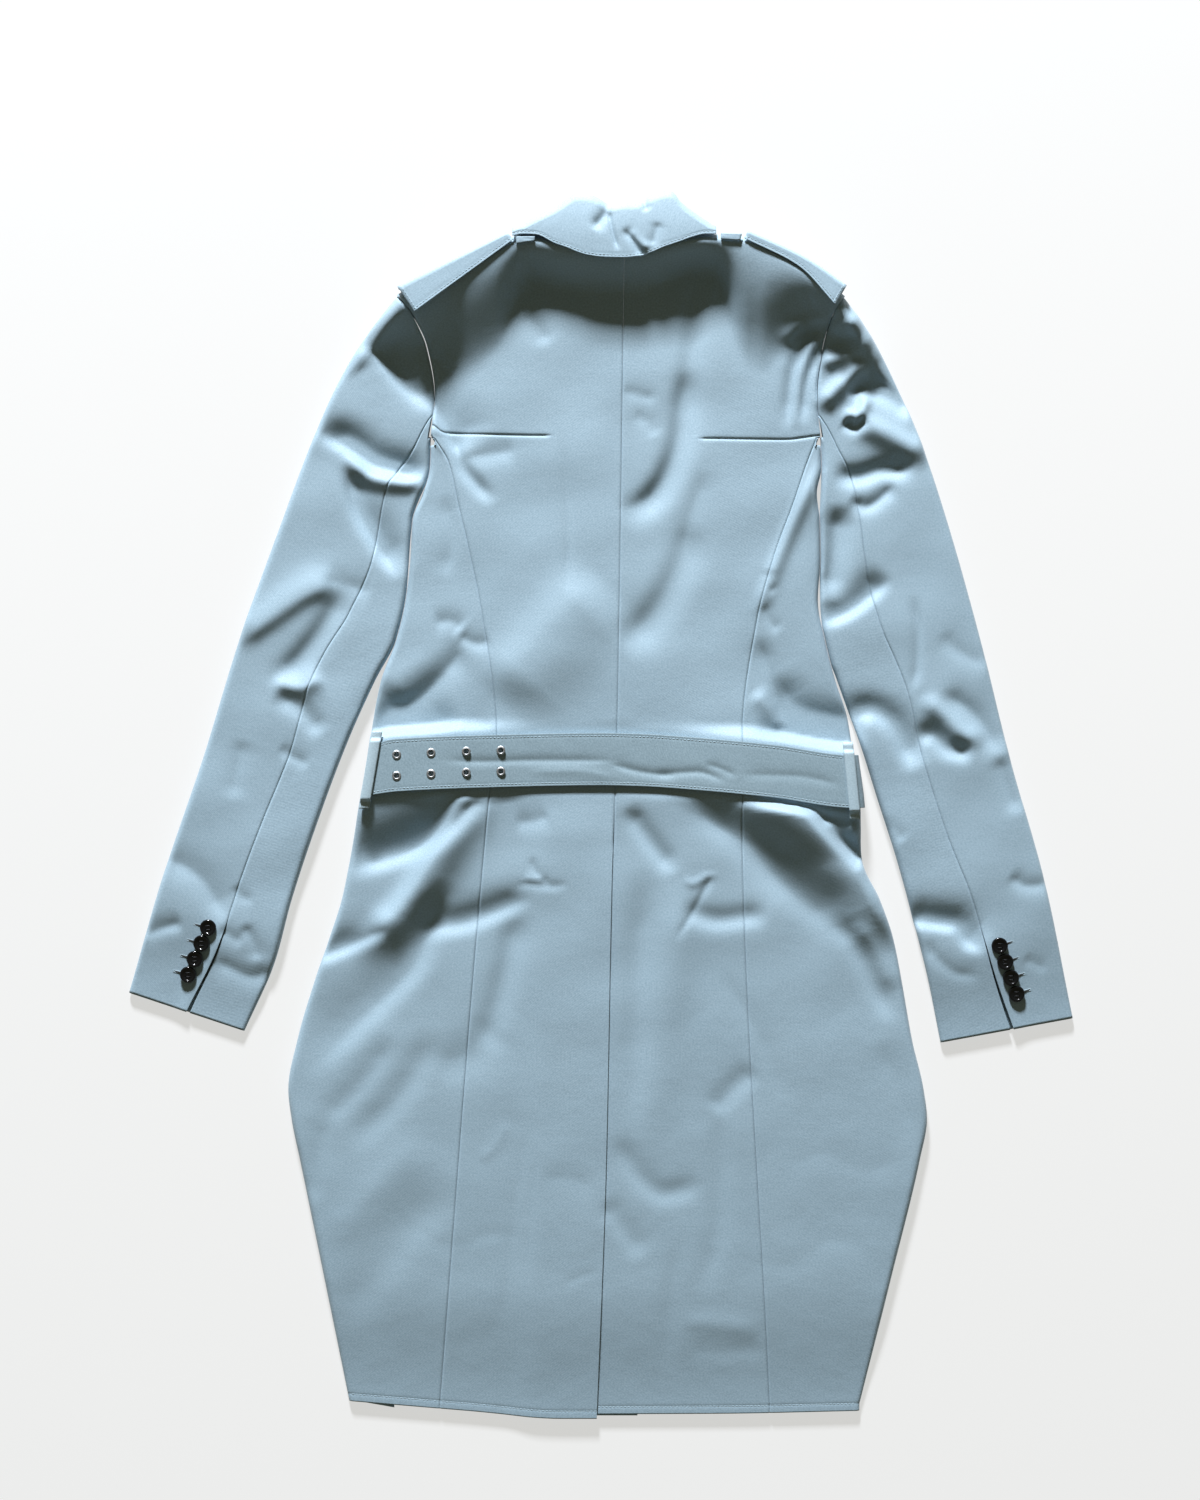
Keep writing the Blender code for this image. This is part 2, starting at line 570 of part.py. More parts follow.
def edge_share(plan, edge):
    """Share at which a plan function's rows reach the folded edge, 0 or 1."""
    start, end = plan(np.array([0.0]))[:, 0], plan(np.array([1.0]))[:, 0]
    at_end = np.linalg.norm(end - edge, axis=1).sum() < np.linalg.norm(start - edge, axis=1).sum()
    return 1.0 if at_end else 0.0


# Making objects

def material(finish):
    """Principled material from its name, sRGB colour, roughness and metallic value."""
    name, colour, roughness, metallic = finish
    made = bpy.data.materials.get(name) or bpy.data.materials.new(name)
    made.use_nodes = True
    shader = made.node_tree.nodes["Principled BSDF"]
    channels = [int(colour[i:i + 2], 16) / 255.0 for i in (0, 2, 4)]
    linear = [c / 12.92 if c <= 0.04045 else ((c + 0.055) / 1.055) ** 2.4 for c in channels]
    shader.inputs["Base Color"].default_value = (*linear, 1.0)
    shader.inputs["Roughness"].default_value = roughness
    shader.inputs["Metallic"].default_value = metallic
    return made


def new_object(name, mesh, finish, collection):
    """Object with its material, shaded smooth between sharp edges."""
    made = bpy.data.objects.new(name, mesh)
    mesh.materials.append(material(finish))
    mesh.shade_smooth()
    mesh.set_sharp_from_angle(angle=np.radians(50.0))
    collection.objects.link(made)
    return made


def grid_faces(index, flip):
    """Four-sided faces of a grid of vertex numbers."""
    faces = []
    for row in range(index.shape[0] - 1):
        for column in range(index.shape[1] - 1):
            near, far = index[row, column:column + 2], index[row + 1, column:column + 2]
            face = [near[0], near[1], far[1], far[0]]
            faces.append(face[::-1] if flip else face)
    return faces


def sheet(name, grid, wall, finish, collection, flip=False, flap=None):
    """Cloth: a grid of points on its outer face, thickened inwards. A flap grows from column 0."""
    vertices = [tuple(point) for point in grid.reshape(-1, 3) * MM]
    index = np.arange(len(vertices)).reshape(grid.shape[:2])
    faces = grid_faces(index, flip)
    if flap is not None:
        first_row, points = flap
        added = np.arange(points.shape[0] * points.shape[1]).reshape(points.shape[:2]) + len(vertices)
        vertices += [tuple(point) for point in points.reshape(-1, 3) * MM]
        faces += grid_faces(np.column_stack([index[first_row:, 0], added]), not flip)
    mesh = bpy.data.meshes.new(name)
    mesh.from_pydata(vertices, [], [[int(corner) for corner in face] for face in faces])
    made = new_object(name, mesh, finish, collection)
    thick = made.modifiers.new("cloth_wall", "SOLIDIFY")
    thick.thickness = wall * MM
    thick.offset = -1.0
    return made


# Body panels

def round_down(x, y, height, upper):
    """Meet the other layer halfway at the shoulder line, on a quarter of an ellipse."""
    slope = (shoulder_y(x + 1.0) - shoulder_y(x - 1.0)) / 2.0
    depth = (shoulder_y(x) - y) / np.sqrt(1.0 + slope ** 2)
    short = 1.0 - np.clip(depth / SHOULDER_ROUND, 0.0, 1.0)
    quarter = np.sqrt(1.0 - short ** 2)
    return height * (0.5 + 0.5 * quarter) if upper else height * (0.5 - 0.5 * quarter)


def back_outer_x(side, y):
    """Outer boundary of a back panel: its armhole, then the side-back seam."""
    _, way = SIDES[side]
    boundary = np.where(y > ARMPIT_Y, armhole_x[side](y), side_back_x[side](y))
    return boundary - way * SEAM_GAP / 2


def row_heights(x_top, hem):
    """Heights of a column's points, from the shoulder line at x down to the hem."""
    top = shoulder_y(x_top)
    round_steps = SHOULDER_ROUND * 1.15 * (1.0 - np.cos(np.radians([0.0, 25.0, 50.0, 70.0, 90.0])))
    below_round = top - round_steps[-1]
    upper = [below_round + (ROWS[0] - below_round) * share for share in np.linspace(0, 1, 11)[1:-1]]
    return np.array([*(top - round_steps), *upper, *ROWS, hem])


def back_panel(side, collection):
    """Half of the back, from the centre seam to the armhole and the side-back seam."""
    _, way = SIDES[side]
    columns = 9
    shares = np.linspace(0.0, 1.0, columns)
    near, far = centre_x(NECK_Y), armhole_x[side](SHOULDER_TIP_Y)
    heights = []
    for share in shares:
        hem_x = centre_x(HEM_Y) * (1 - share) + side_back_x[side](HEM_Y) * share
        heights.append(row_heights(near * (1 - share) + far * share, hem_y[side](hem_x)))
    y = np.column_stack(heights)
    seam = centre_x(y) + way * SEAM_GAP / 2
    x = seam * (1 - shares) + back_outer_x(side, y) * shares
    z = round_down(x, y, body_lift(side)(x, y), upper=True)
    flap = None
    if side == "left":
        z = z + left_raise(x, y)
    else:
        first_row = int(np.argmax(y[:, 0] <= VENT_TOP))
        flap_y = np.repeat(y[first_row:, :1], 2, axis=1)
        flap_x = centre_x(flap_y) - np.array([UNDERLAP / 2, UNDERLAP])
        flap = (first_row, np.dstack([flap_x, flap_y, body_lift("right")(flap_x, flap_y)]))
    sheet(f"back_{side}", np.dstack([x, y, z]), WALL, GABARDINE, collection, way > 0, flap)


def side_rows(side):
    """Heights of a side back's rows at its seam, and at its folded edge, which starts lower."""
    seam_rows = np.array([SIDE_BACK_TOP, *ROWS, hem_y[side](side_back_x[side](HEM_Y))])
    drop_start = SIDE_BACK_TOP - EDGE_DROP_RUN
    edge_rows = seam_rows - EDGE_DROP * ease((seam_rows - drop_start) / EDGE_DROP_RUN)
    edge_rows[-1] = hem_y[side](edge_x[side](HEM_Y))
    return seam_rows, edge_rows


def side_back_panel(side, collection):
    """From the side-back seam round the side fold to the side seam underneath."""
    _, way = SIDES[side]
    seam_rows, edge_rows = side_rows(side)
    seam = np.column_stack([side_back_x[side](seam_rows) + way * SEAM_GAP / 2, seam_rows])
    edge = np.column_stack([edge_x[side](edge_rows), edge_rows])
    under_x = edge_x[side](seam_rows) - way * (inset(seam_rows) - SEAM_GAP / 2)
    under = np.column_stack([under_x, seam_rows])
    none = np.zeros(len(seam_rows))
    grid = folded_sheet(between(seam, edge), none, between(edge, under), none + 1.0,
                        body_lift(side), floor_height, (5, 3))
    sheet(f"side_back_{side}", grid, WALL, GABARDINE, collection, way > 0)


def front_outer_x(side, y):
    """Outer boundary of a front: its armhole, then the side seam."""
    _, way = SIDES[side]
    below = edge_x[side](y) - way * inset(y)
    return np.where(y > ARMPIT_Y, armhole_x[side](y), below) - way * SEAM_GAP / 2


def front_panel(side, collection):
    """Plain front underneath, from the shoulder, neck and armhole to its edge past the middle."""
    _, way = SIDES[side]
    shares = np.linspace(0.0, 1.0, 9)
    far = armhole_x[side](SHOULDER_TIP_Y)
    near = centre_x(NECK_Y) - way * FRONT_LAP
    hem_near = centre_x(HEM_Y) - way * FRONT_LAP
    heights = []
    for share in shares:
        x_top = far * (1 - share) + near * share
        hem_x = front_outer_x(side, HEM_Y) * (1 - share) + hem_near * share
        column = row_heights(x_top, hem_y[side](hem_x) + FRONT_HEM_SHORT)
        inside_neck = NECK_HALF_WIDTH - way * (x_top - NECK_MIDDLE_X)
        drop = FRONT_NECK_DROP * ease(inside_neck / NECK_CURVE)
        fade = ease((column - ROWS[0]) / (column[0] - ROWS[0]))
        heights.append(column - drop * fade)
    y = np.column_stack(heights)
    x = front_outer_x(side, y) * (1 - shares) + (centre_x(y) - way * FRONT_LAP) * shares
    upper = lift(x, y)
    meet_start, meet_run = NECK_MEET
    inside_neck = NECK_HALF_WIDTH - way * (x - NECK_MIDDLE_X)
    shoulder_share = 1.0 - ease((inside_neck + meet_start) / meet_run)
    meet = round_down(x, y, upper - 2.0 * SHOULDER_GAP, upper=False) * shoulder_share
    layer = front_left_floor if side == "left" else floor_height
    grid = np.dstack([x, y, np.maximum(meet, layer(x, y))])
    sheet(f"front_{side}", grid, WALL, GABARDINE, collection, way > 0)


# Sleeves

def sleeve_plan(side, along):
    """Plan function of a sleeve's rows, from its inner edge at share 0 to its outer one at 1."""
    _, way = SIDES[side]
    outer = path_curve(SLEEVE_OUTER[side])(along)
    inner = path_curve(SLEEVE_INNER[side])(along - ARMPIT_FAN * along * (1.0 - along) ** 3)
    beside = edge_x[side](inner[:, 1]) + way * SLEEVE_GAP
    touching = inner[:, 1] > SLEEVE_JOINS_BODY_ABOVE
    inner[:, 0] = np.where(touching, way * np.maximum(way * inner[:, 0], way * beside), inner[:, 0])
    armhole_fade = (1.0 - np.clip(along / ARMHOLE_BLEND, 0.0, 1.0)) ** 2

    def plan(shares):
        shares = np.broadcast_to(shares, (len(along), np.shape(shares)[-1]))
        straight = inner[:, None, :] * (1 - shares[..., None]) + outer[:, None, :] * shares[..., None]
        armhole_height = inner[0, 1] * (1 - shares) + outer[0, 1] * shares
        first = inner[0] * (1 - shares[..., None]) + outer[0] * shares[..., None]
        at_armhole = armhole_x[side](armhole_height) + way * (ARMHOLE_GAP - SEAM_GAP / 2)
        bow = (at_armhole - first[..., 0]) * armhole_fade[:, None]
        return straight + np.stack([bow, np.zeros_like(bow)], axis=-1)

    return plan


def reversed_plan(plan):
    """The same rows, measured from the other end."""
    return lambda shares: plan(1.0 - np.asarray(shares))


def sleeve_height(along):
    """Height field of a sleeve's upper layer, flat towards the cuff."""
    spread = ease((1.0 - along) / CUFF_EASE)

    def height(x, y):
        return lift(x, y, spread[:, None] if np.ndim(x) > 1 else spread, belted=False)

    return height


def sleeve_panels(side, collection):
    """Top sleeve round the outer fold, under sleeve round the inner one."""
    _, way = SIDES[side]
    along = np.linspace(0.0, 1.0, SLEEVE_ROWS)
    plan = sleeve_plan(side, along)
    back = reversed_plan(plan)
    seam = sleeve_seam_share[side](along)
    under_seam = np.full(len(along), UNDER_SEAM_SHARE)
    width = np.linalg.norm(plan(np.array([0.0, 1.0]))[:, 0] - plan(np.array([0.0, 1.0]))[:, 1], axis=1)
    slanting = 1.0 - ease(along / SLANT_RUN)
    gap = 0.5 * SEAM_GAP / width * (1.0 + SLANT_WIDENING * slanting)
    height = sleeve_height(along)
    top = folded_sheet(plan, seam + gap, back, 1.0 - under_seam - gap, height, on_surface, (6, 4))
    rounding = ARMPIT_ROUND + (1.0 - ARMPIT_ROUND) * ease(along / ARMPIT_ROUND_RUN)
    under = folded_sheet(back, 1.0 - seam + gap, plan, under_seam - gap, height, on_surface, (4, 3), rounding)
    sheet(f"top_sleeve_{side}", top, WALL, GABARDINE, collection, way > 0)
    sheet(f"under_sleeve_{side}", under, WALL, GABARDINE, collection, way < 0)


# Collar, straps and loops

def on_surface(x, y):
    """Height of cloth that lies on the surface under the coat."""
    return np.zeros(np.shape(x))


def collar_height(x, y):
    """Outer face of the collar's fall, over the back."""
    return COLLAR_LEVEL - COLLAR_DROOP * np.maximum(y - COLLAR_DROOP_Y, 0.0) ** 2


def strap_height(x, y):
    """Outer face of a shoulder strap."""
    return lift(x, y) + STRAP_WALL + SLOPE_GAP


def keeper_height(x, y):
    """Outer face of a strap keeper, over the highest cloth near each of its points."""
    near = [shoulder_height(x + dx, y + dy) for dx, dy in KEEPER_FEELERS]
    return np.max(near, axis=0) + STRAP_WALL + LAY_GAP


def shoulder_height(x, y):
    """Outer face of the back where it rounds down to the shoulder line."""
    return round_down(x, y, lift(x, y), upper=True)


def collar(collection):
    """Folded leaf: the fall on the back, the roll at the top, the ends flat underneath."""
    table = np.array(COLLAR, dtype=float)
    x, fall, roll, under = table.T
    radius = np.minimum(COLLAR_FOLD, COLLAR_FOLD_SHARE * (roll - fall))
    turn = roll - radius
    on_back = np.column_stack([x, fall])
    at_roll = np.column_stack([x, roll])
    at_turn = np.column_stack([x, turn])
    leaf_edge = np.column_stack([x, np.minimum(under, turn - COLLAR_LEAF_LEAST)])
    upper = flat_run(between(on_back, at_turn), np.linspace(0, 1, 4), collar_height)
    inward = np.tile([0.0, -1.0], (len(x), 1))
    folded = fold_run(at_roll, inward, radius, upper[:, -1, 2], np.zeros(len(x)), steps=5)
    lower = flat_run(between(at_turn, leaf_edge), np.linspace(0, 1, 3)[1:], on_surface)
    grid = np.concatenate([upper, folded[:, 1:], lower], axis=1)
    sheet("collar", grid, COLLAR_WALL, GABARDINE, collection, flip=True)


def shoulder_piece(name, rows, collection):
    """Strip that lies along the shoulder edge and rounds over it to half its height."""
    share = np.linspace(0.0, 1.0, 9)
    lower_x, lower_y, outline_x, outline_y = (curve(rows, column)(share) for column in (1, 2, 3, 4))
    lower = np.column_stack([lower_x, lower_y])
    outline = np.column_stack([outline_x, outline_y])
    width = np.linalg.norm(outline - lower, axis=1)
    radius = np.minimum(STRAP_ROUND, STRAP_ROUND_SHARE * width)
    turn = outline + (lower - outline) * (radius / width)[:, None]
    upper = flat_run(between(lower, turn), np.linspace(0, 1, 4), strap_height)
    top = upper[:, -1, 2]
    level_under = np.full(len(share), STRAP_UNDER)
    folded = fold_run(outline, unit(lower - outline), radius, top, level_under, steps=2 * STRAP_TURN_STEPS)
    grid = np.concatenate([upper, folded[:, 1:STRAP_TURN_STEPS + 1]], axis=1)
    sheet(name, grid, STRAP_WALL, GABARDINE, collection, flip=rows[0][1] < rows[-1][1])


def strap_keeper(side, collection):
    """Short band flat on the back, between the strap's end and the collar."""
    share = np.linspace(0.0, 1.0, 4)
    lower_x, lower_y, upper_x, upper_y = (curve(KEEPERS[side], column)(share) for column in (1, 2, 3, 4))
    rows = between(np.column_stack([lower_x, lower_y]), np.column_stack([upper_x, upper_y]))
    grid = flat_run(rows, np.linspace(0, 1, 4), keeper_height)
    sheet(f"strap_keeper_{side}", grid, STRAP_WALL, GABARDINE, collection, flip=lower_x[0] < lower_x[-1])


def belt_surface(x, y):
    """Height of the belt's outer face where it crosses the back."""
    return lift(x, y) + LAY_GAP + BELT_WALL


def belt_grid():
    """Outer face of the belt: across the back, round the right fold and back underneath."""
    across = np.linspace(0.5, -0.5, 4)[None, :] * BELT_WIDTH
    body_edge = edge_x["right"](BELT_UNDER_Y + across)
    turn_x = body_edge - WAIST_TURN
    x = BELT_TIP_X + (turn_x - BELT_TIP_X) * np.linspace(0.0, 1.0, BELT_COLUMNS)[:, None]
    y = belt_y(x) + across
    slant_fade = 1.0 - ease((x - BELT_TIP_X) / BELT_TIP_RUN)
    x = x + BELT_TIP_SLANT * across / (0.5 * BELT_WIDTH) * slant_fade
    upper = np.dstack([x, y, belt_surface(x, y)])
    reach = BELT_WALL + BELT_TURN_GAP
    edge = np.column_stack([body_edge[0] + reach, y[-1]])
    radius = edge[:, 0] - x[-1]
    inward = np.tile([-1.0, 0.0], (len(edge), 1))
    folded = fold_run(edge, inward, radius, upper[-1, :, 2], np.zeros(len(edge)), steps=8)
    folded = np.transpose(folded, (1, 0, 2))[1:]
    back_x = np.array([BELT_UNDER_MIDDLE, BELT_UNDER_END])[:, None] + 0.0 * across
    lower = np.dstack([back_x, BELT_UNDER_Y + 0.0 * back_x + across, 0.0 * back_x])
    return np.concatenate([upper, folded, lower])


def eyelet_places():
    """Name, plan place and resting height of each eyelet."""
    places = []
    number = 0
    for row, offset in EYELET_ROWS.items():
        for x in EYELET_COLUMNS:
            number += 1
            y = float(belt_y(x)) + offset
            places.append((f"eyelet_{number}", x, y, highest(belt_surface, x, y, EYELET_FLANGE)))
    return places


def highest(height, x, y, radius):
    """Highest point of a height field under a disc."""
    angle = np.linspace(0.0, 2.0 * np.pi, 13)
    ring_x = x + np.outer([0.0, 0.5, 1.0], radius * np.cos(angle)).ravel()
    ring_y = y + np.outer([0.0, 0.5, 1.0], radius * np.sin(angle)).ravel()
    return float(np.max(height(ring_x, ring_y)))


def belt(collection, cutters):
    """Belt with its eyelet holes cut through."""
    made = sheet("belt", belt_grid(), BELT_WALL, BELT_CLOTH, collection, flip=False)
    tool = bmesh.new()
    for _, x, y, z in eyelet_places():
        hole = bmesh.ops.create_cone(tool, cap_ends=True, segments=12, depth=CUTTER_LENGTH * MM,
                                     radius1=(EYELET_BARREL + EYELET_CLEARANCE) * MM,
                                     radius2=(EYELET_BARREL + EYELET_CLEARANCE) * MM)
        bmesh.ops.translate(tool, verts=hole["verts"], vec=(x * MM, y * MM, z * MM))
    mesh = bpy.data.meshes.new("eyelet_hole_cutter")
    tool.to_mesh(mesh)
    tool.free()
    cutter = bpy.data.objects.new("eyelet_hole_cutter", mesh)
    cutters.objects.link(cutter)
    cutter.display_type = "WIRE"
    cutter.hide_render = True
    cut = made.modifiers.new("eyelet_holes", "BOOLEAN")
    cut.operation = "DIFFERENCE"
    cut.object = cutter


def turned(name, profile, place, finish, collection, steps):
    """Piece turned about a vertical axis. The profile runs down its outer side."""
    mesh = bpy.data.meshes.new(name)
    points = [(radius * MM, 0.0, height * MM) for radius, height in profile]
    closed = profile[0][0] > 0.0
    edges = [(i, i + 1) for i in range(len(points) - 1)] + ([(len(points) - 1, 0)] if closed else [])
    mesh.from_pydata(points, edges, [])
    made = new_object(name, mesh, finish, collection)
    made.location = [value * MM for value in place]
    screw = made.modifiers.new("turning", "SCREW")
    screw.steps = steps
    screw.render_steps = steps
    screw.use_merge_vertices = True
    screw.merge_threshold = 0.00001
    screw.use_smooth_shade = True
    return made


def eyelets(collection):
    """Metal eyelet in each hole: a domed flange on the belt and a barrel through it."""
    top = EYELET_CLEARANCE + EYELET_LIP
    bottom = -BELT_WALL
    profile = (
        (EYELET_HOLE + EYELET_INNER_BEVEL, top), (EYELET_FLANGE - EYELET_OUTER_BEVEL, top),
        (EYELET_FLANGE, EYELET_CLEARANCE), (EYELET_BARREL, EYELET_CLEARANCE),
        (EYELET_BARREL, bottom), (EYELET_HOLE, bottom), (EYELET_HOLE, top - EYELET_INNER_BEVEL),
    )
    for name, x, y, z in eyelet_places():
        turned(name, profile, (x, y, z), EYELET_METAL, collection, steps=12)


def belt_loop(side, collection):
    """Narrow strip over the belt, its two ends lying on the coat."""
    top_x, bottom_x, top_y, bottom_y = LOOPS[side]
    belt_middle = float(belt_y(0.5 * (top_x + bottom_x)))
    belt_half = 0.5 * BELT_WIDTH
    outside, inside = belt_half + LOOP_CLEAR, belt_half - LOOP_CLEAR
    y = np.array([
        top_y + LOOP_FOOT, top_y, belt_middle + outside, belt_middle + inside, belt_middle,
        belt_middle - inside, belt_middle - outside, bottom_y, bottom_y - LOOP_FOOT,
    ])
    x = top_x + (bottom_x - top_x) * (y[0] - y) / (y[0] - y[-1])
    grid_x = x[:, None] + np.array([-0.5, 0.5]) * LOOP_WIDTH
    grid_y = np.repeat(y[:, None], 2, axis=1)
    reach = 0.5 * LOOP_WIDTH + LOOP_FEEL
    above = LAY_GAP + LOOP_WALL
    on_coat = np.array([highest(lift, px, py, reach) for px, py in zip(x, y)]) + above
    over_belt = np.array([highest(belt_surface, px, py, reach) for px, py in zip(x, y)]) + above
    crosses_belt = np.abs(y - belt_middle) < outside + 0.5 * LOOP_CLEAR
    z = np.where(crosses_belt, over_belt, on_coat)[:, None] + 0.0 * grid_x
    grid = np.dstack([grid_x, grid_y, z])[:, ::-1]
    sheet(f"belt_loop_{side}", grid, LOOP_WALL, LOOP_CLOTH, collection, flip=False)


# Hard parts

def rod(name, points, radius, closed, collection):
    """Round rod along points, as a curve with a bevel."""
    data = bpy.data.curves.new(name, "CURVE")
    data.dimensions = "3D"
    data.bevel_depth = radius * MM
    data.bevel_resolution = 2
    data.use_fill_caps = True
    spline = data.splines.new("POLY")
    spline.points.add(len(points) - 1)
    for point, place in zip(spline.points, points):
        point.co = (*[value * MM for value in place], 1.0)
    spline.use_cyclic_u = closed
    data.materials.append(material(BUCKLE_METAL))
    made = bpy.data.objects.new(name, data)
    collection.objects.link(made)


def buckle(collection):
    """Frame and two prongs at the belt's hidden end."""
    near_x = BELT_UNDER_END - BUCKLE_GAP - BUCKLE_ROD
    far_x = near_x - BUCKLE_LENGTH
    arc_y = 0.5 * BUCKLE_WIDTH - BUCKLE_CORNER
    near_arc, far_arc = near_x - BUCKLE_CORNER, far_x + BUCKLE_CORNER
    frame = []
    for arc_x, way, first in ((near_arc, 1, 0), (far_arc, 1, 90), (far_arc, -1, 180), (near_arc, -1, 270)):
        for angle in np.radians(np.linspace(first, first + 90, 4)):
            x = arc_x + BUCKLE_CORNER * np.cos(angle)
            y = BELT_UNDER_Y + way * arc_y + BUCKLE_CORNER * np.sin(angle)
            frame.append((x, y, BUCKLE_ROD))
    rod("buckle_frame", frame, BUCKLE_ROD, True, collection)
    start = near_x - BUCKLE_ROD - PRONG_GAP
    end = far_x + BUCKLE_ROD + PRONG_GAP
    for number, way in ((1, 1), (2, -1)):
        y = BELT_UNDER_Y + way * PRONG_OFFSET
        points = [(start + (end - start) * share, y, BUCKLE_ROD) for share in (0.0, 0.5, 1.0)]
        rod(f"buckle_prong_{number}", points, PRONG_ROD, False, collection)


def cuff_height(side):
    """Height of the sleeve near its cuff, as a field of plan points."""
    outer_end = np.array(SLEEVE_OUTER[side][-1])
    inner_end = np.array(SLEEVE_INNER[side][-1])
    down = np.array([outer_end[1] - inner_end[1], inner_end[0] - outer_end[0]])
    down = down / np.linalg.norm(down)
    down = down if down[1] < 0 else -down
    length = np.linalg.norm(np.diff(np.array(SLEEVE_OUTER[side], dtype=float), axis=0), axis=1).sum()

    def height(x, y):
        left_to_go = (outer_end[0] - x) * down[0] + (outer_end[1] - y) * down[1]
        return lift(x, y, ease(left_to_go / length / CUFF_EASE), belted=False)

    return height


def cuff_buttons(side, collection, cutters):
    """A row of kissing four-hole buttons beside the sleeve's back seam."""
    (x, y), (step_x, step_y) = BUTTON_ROWS[side]
    radius = 0.5 * BUTTON_DIAMETER
    profile = [(share * radius, height) for share, height in BUTTON_PROFILE]
    for number in range(BUTTONS_EACH):
        place_x = x + step_x * BUTTON_SPACING * number
        place_y = y + step_y * BUTTON_SPACING * number
        z = highest(cuff_height(side), place_x, place_y, radius) + LAY_GAP
        name = f"cuff_button_{side}_{number + 1}"
        made = turned(name, profile, (place_x, place_y, z), BUTTON_RESIN, collection, steps=16)
        cut_button_holes(made, name, (place_x, place_y, z), cutters)


def cut_button_holes(button, name, place, cutters):
    """Four thread holes through a button."""
    tool = bmesh.new()
    for across, along in ((-1, -1), (-1, 1), (1, -1), (1, 1)):
        hole = bmesh.ops.create_cone(tool, cap_ends=True, segments=5, depth=CUTTER_LENGTH * MM,
                                     radius1=BUTTON_HOLE * MM, radius2=BUTTON_HOLE * MM)
        offset = (across * BUTTON_HOLE_OFFSET * MM, along * BUTTON_HOLE_OFFSET * MM, 1.0 * MM)
        bmesh.ops.translate(tool, verts=hole["verts"], vec=offset)
    mesh = bpy.data.meshes.new(f"{name}_cutter")
    tool.to_mesh(mesh)
    tool.free()
    cutter = bpy.data.objects.new(f"{name}_cutter", mesh)
    cutter.location = [value * MM for value in place]
    cutter.display_type = "WIRE"
    cutter.hide_render = True
    cutters.objects.link(cutter)
    cut = button.modifiers.new("thread_holes", "BOOLEAN")
    cut.operation = "DIFFERENCE"
    cut.object = cutter


def build():
    """Clear the scene and make the coat."""
    for old in list(bpy.data.objects):
        bpy.data.objects.remove(old, do_unlink=True)
    coat = bpy.data.collections.new("trench_coat")
    cutters = bpy.data.collections.new("cutters")
    bpy.context.scene.collection.children.link(coat)
    bpy.context.scene.collection.children.link(cutters)
    for side in SIDES:
        back_panel(side, coat)
        side_back_panel(side, coat)
        front_panel(side, coat)
        sleeve_panels(side, coat)
        shoulder_piece(f"shoulder_strap_{side}", STRAPS[side], coat)
        strap_keeper(side, coat)
        belt_loop(side, coat)
        cuff_buttons(side, coat, cutters)
    collar(coat)
    belt(coat, cutters)
    eyelets(coat)
    buckle(coat)
    origin = bpy.data.objects.new("coat_origin", None)
    origin.location.x = MIDDLE_X * MM
    coat.objects.link(origin)
    for piece in [*coat.objects, *cutters.objects]:
        if piece is not origin:
            piece.parent = origin


build()
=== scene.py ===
"""Looks of a belted trench coat in grey-blue cotton gabardine, laid flat with its back up.

The tables are in millimetres, on the lines on which the coat's patterns were drawn. MM turns them
into metres, and MIDDLE_X moves them over the frame's origin. +Y runs towards the neck, +Z is up.
"""

import bmesh
import bpy
import numpy as np
from mathutils import Matrix, Vector


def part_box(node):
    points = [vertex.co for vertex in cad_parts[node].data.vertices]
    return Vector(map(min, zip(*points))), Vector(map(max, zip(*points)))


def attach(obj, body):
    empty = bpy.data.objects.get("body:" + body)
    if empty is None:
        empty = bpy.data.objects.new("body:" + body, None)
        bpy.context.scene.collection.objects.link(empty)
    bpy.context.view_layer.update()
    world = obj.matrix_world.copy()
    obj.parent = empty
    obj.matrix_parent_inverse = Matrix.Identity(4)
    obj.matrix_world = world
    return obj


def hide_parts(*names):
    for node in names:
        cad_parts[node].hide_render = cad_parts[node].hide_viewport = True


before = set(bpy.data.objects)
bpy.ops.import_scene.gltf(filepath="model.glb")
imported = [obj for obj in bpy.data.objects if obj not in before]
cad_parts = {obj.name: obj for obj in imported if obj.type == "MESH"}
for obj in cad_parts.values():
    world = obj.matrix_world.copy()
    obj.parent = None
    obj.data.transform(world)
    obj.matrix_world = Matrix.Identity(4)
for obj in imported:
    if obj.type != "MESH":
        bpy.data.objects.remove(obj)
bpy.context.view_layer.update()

MM = 0.001
MIDDLE_X = 4.75

# Cloth and the gaps between pieces
WALL = 1.3
COLLAR_WALL = 1.8
STRAP_WALL = 1.8
BELT_WALL = 2.6
LOOP_WALL = 1.4
SEAM_GAP = 0.04
SHOULDER_GAP = 0.7
ARMHOLE_GAP = 0.15
SLEEVE_GAP = 0.3
LAY_GAP = 0.5
SLOPE_GAP = 1.1

# The two sides: the column of a table that holds each, and the way it lies along X
SIDES = {"left": (1, -1.0), "right": (2, 1.0)}

# Levels of the laid cloth above the surface
REST_HEIGHT = 11.0
OPEN_EDGE_HEIGHT = 4.8
LOWEST_BACK = 4.2
# The cloth comes down to its lowest level softly: the rounding's square, and its correction
LOWEST_SOFTNESS = 1.0
LOWEST_DROP = 0.1
SHOULDER_ROUND = 9.0
EDGE_EASE = 110.0

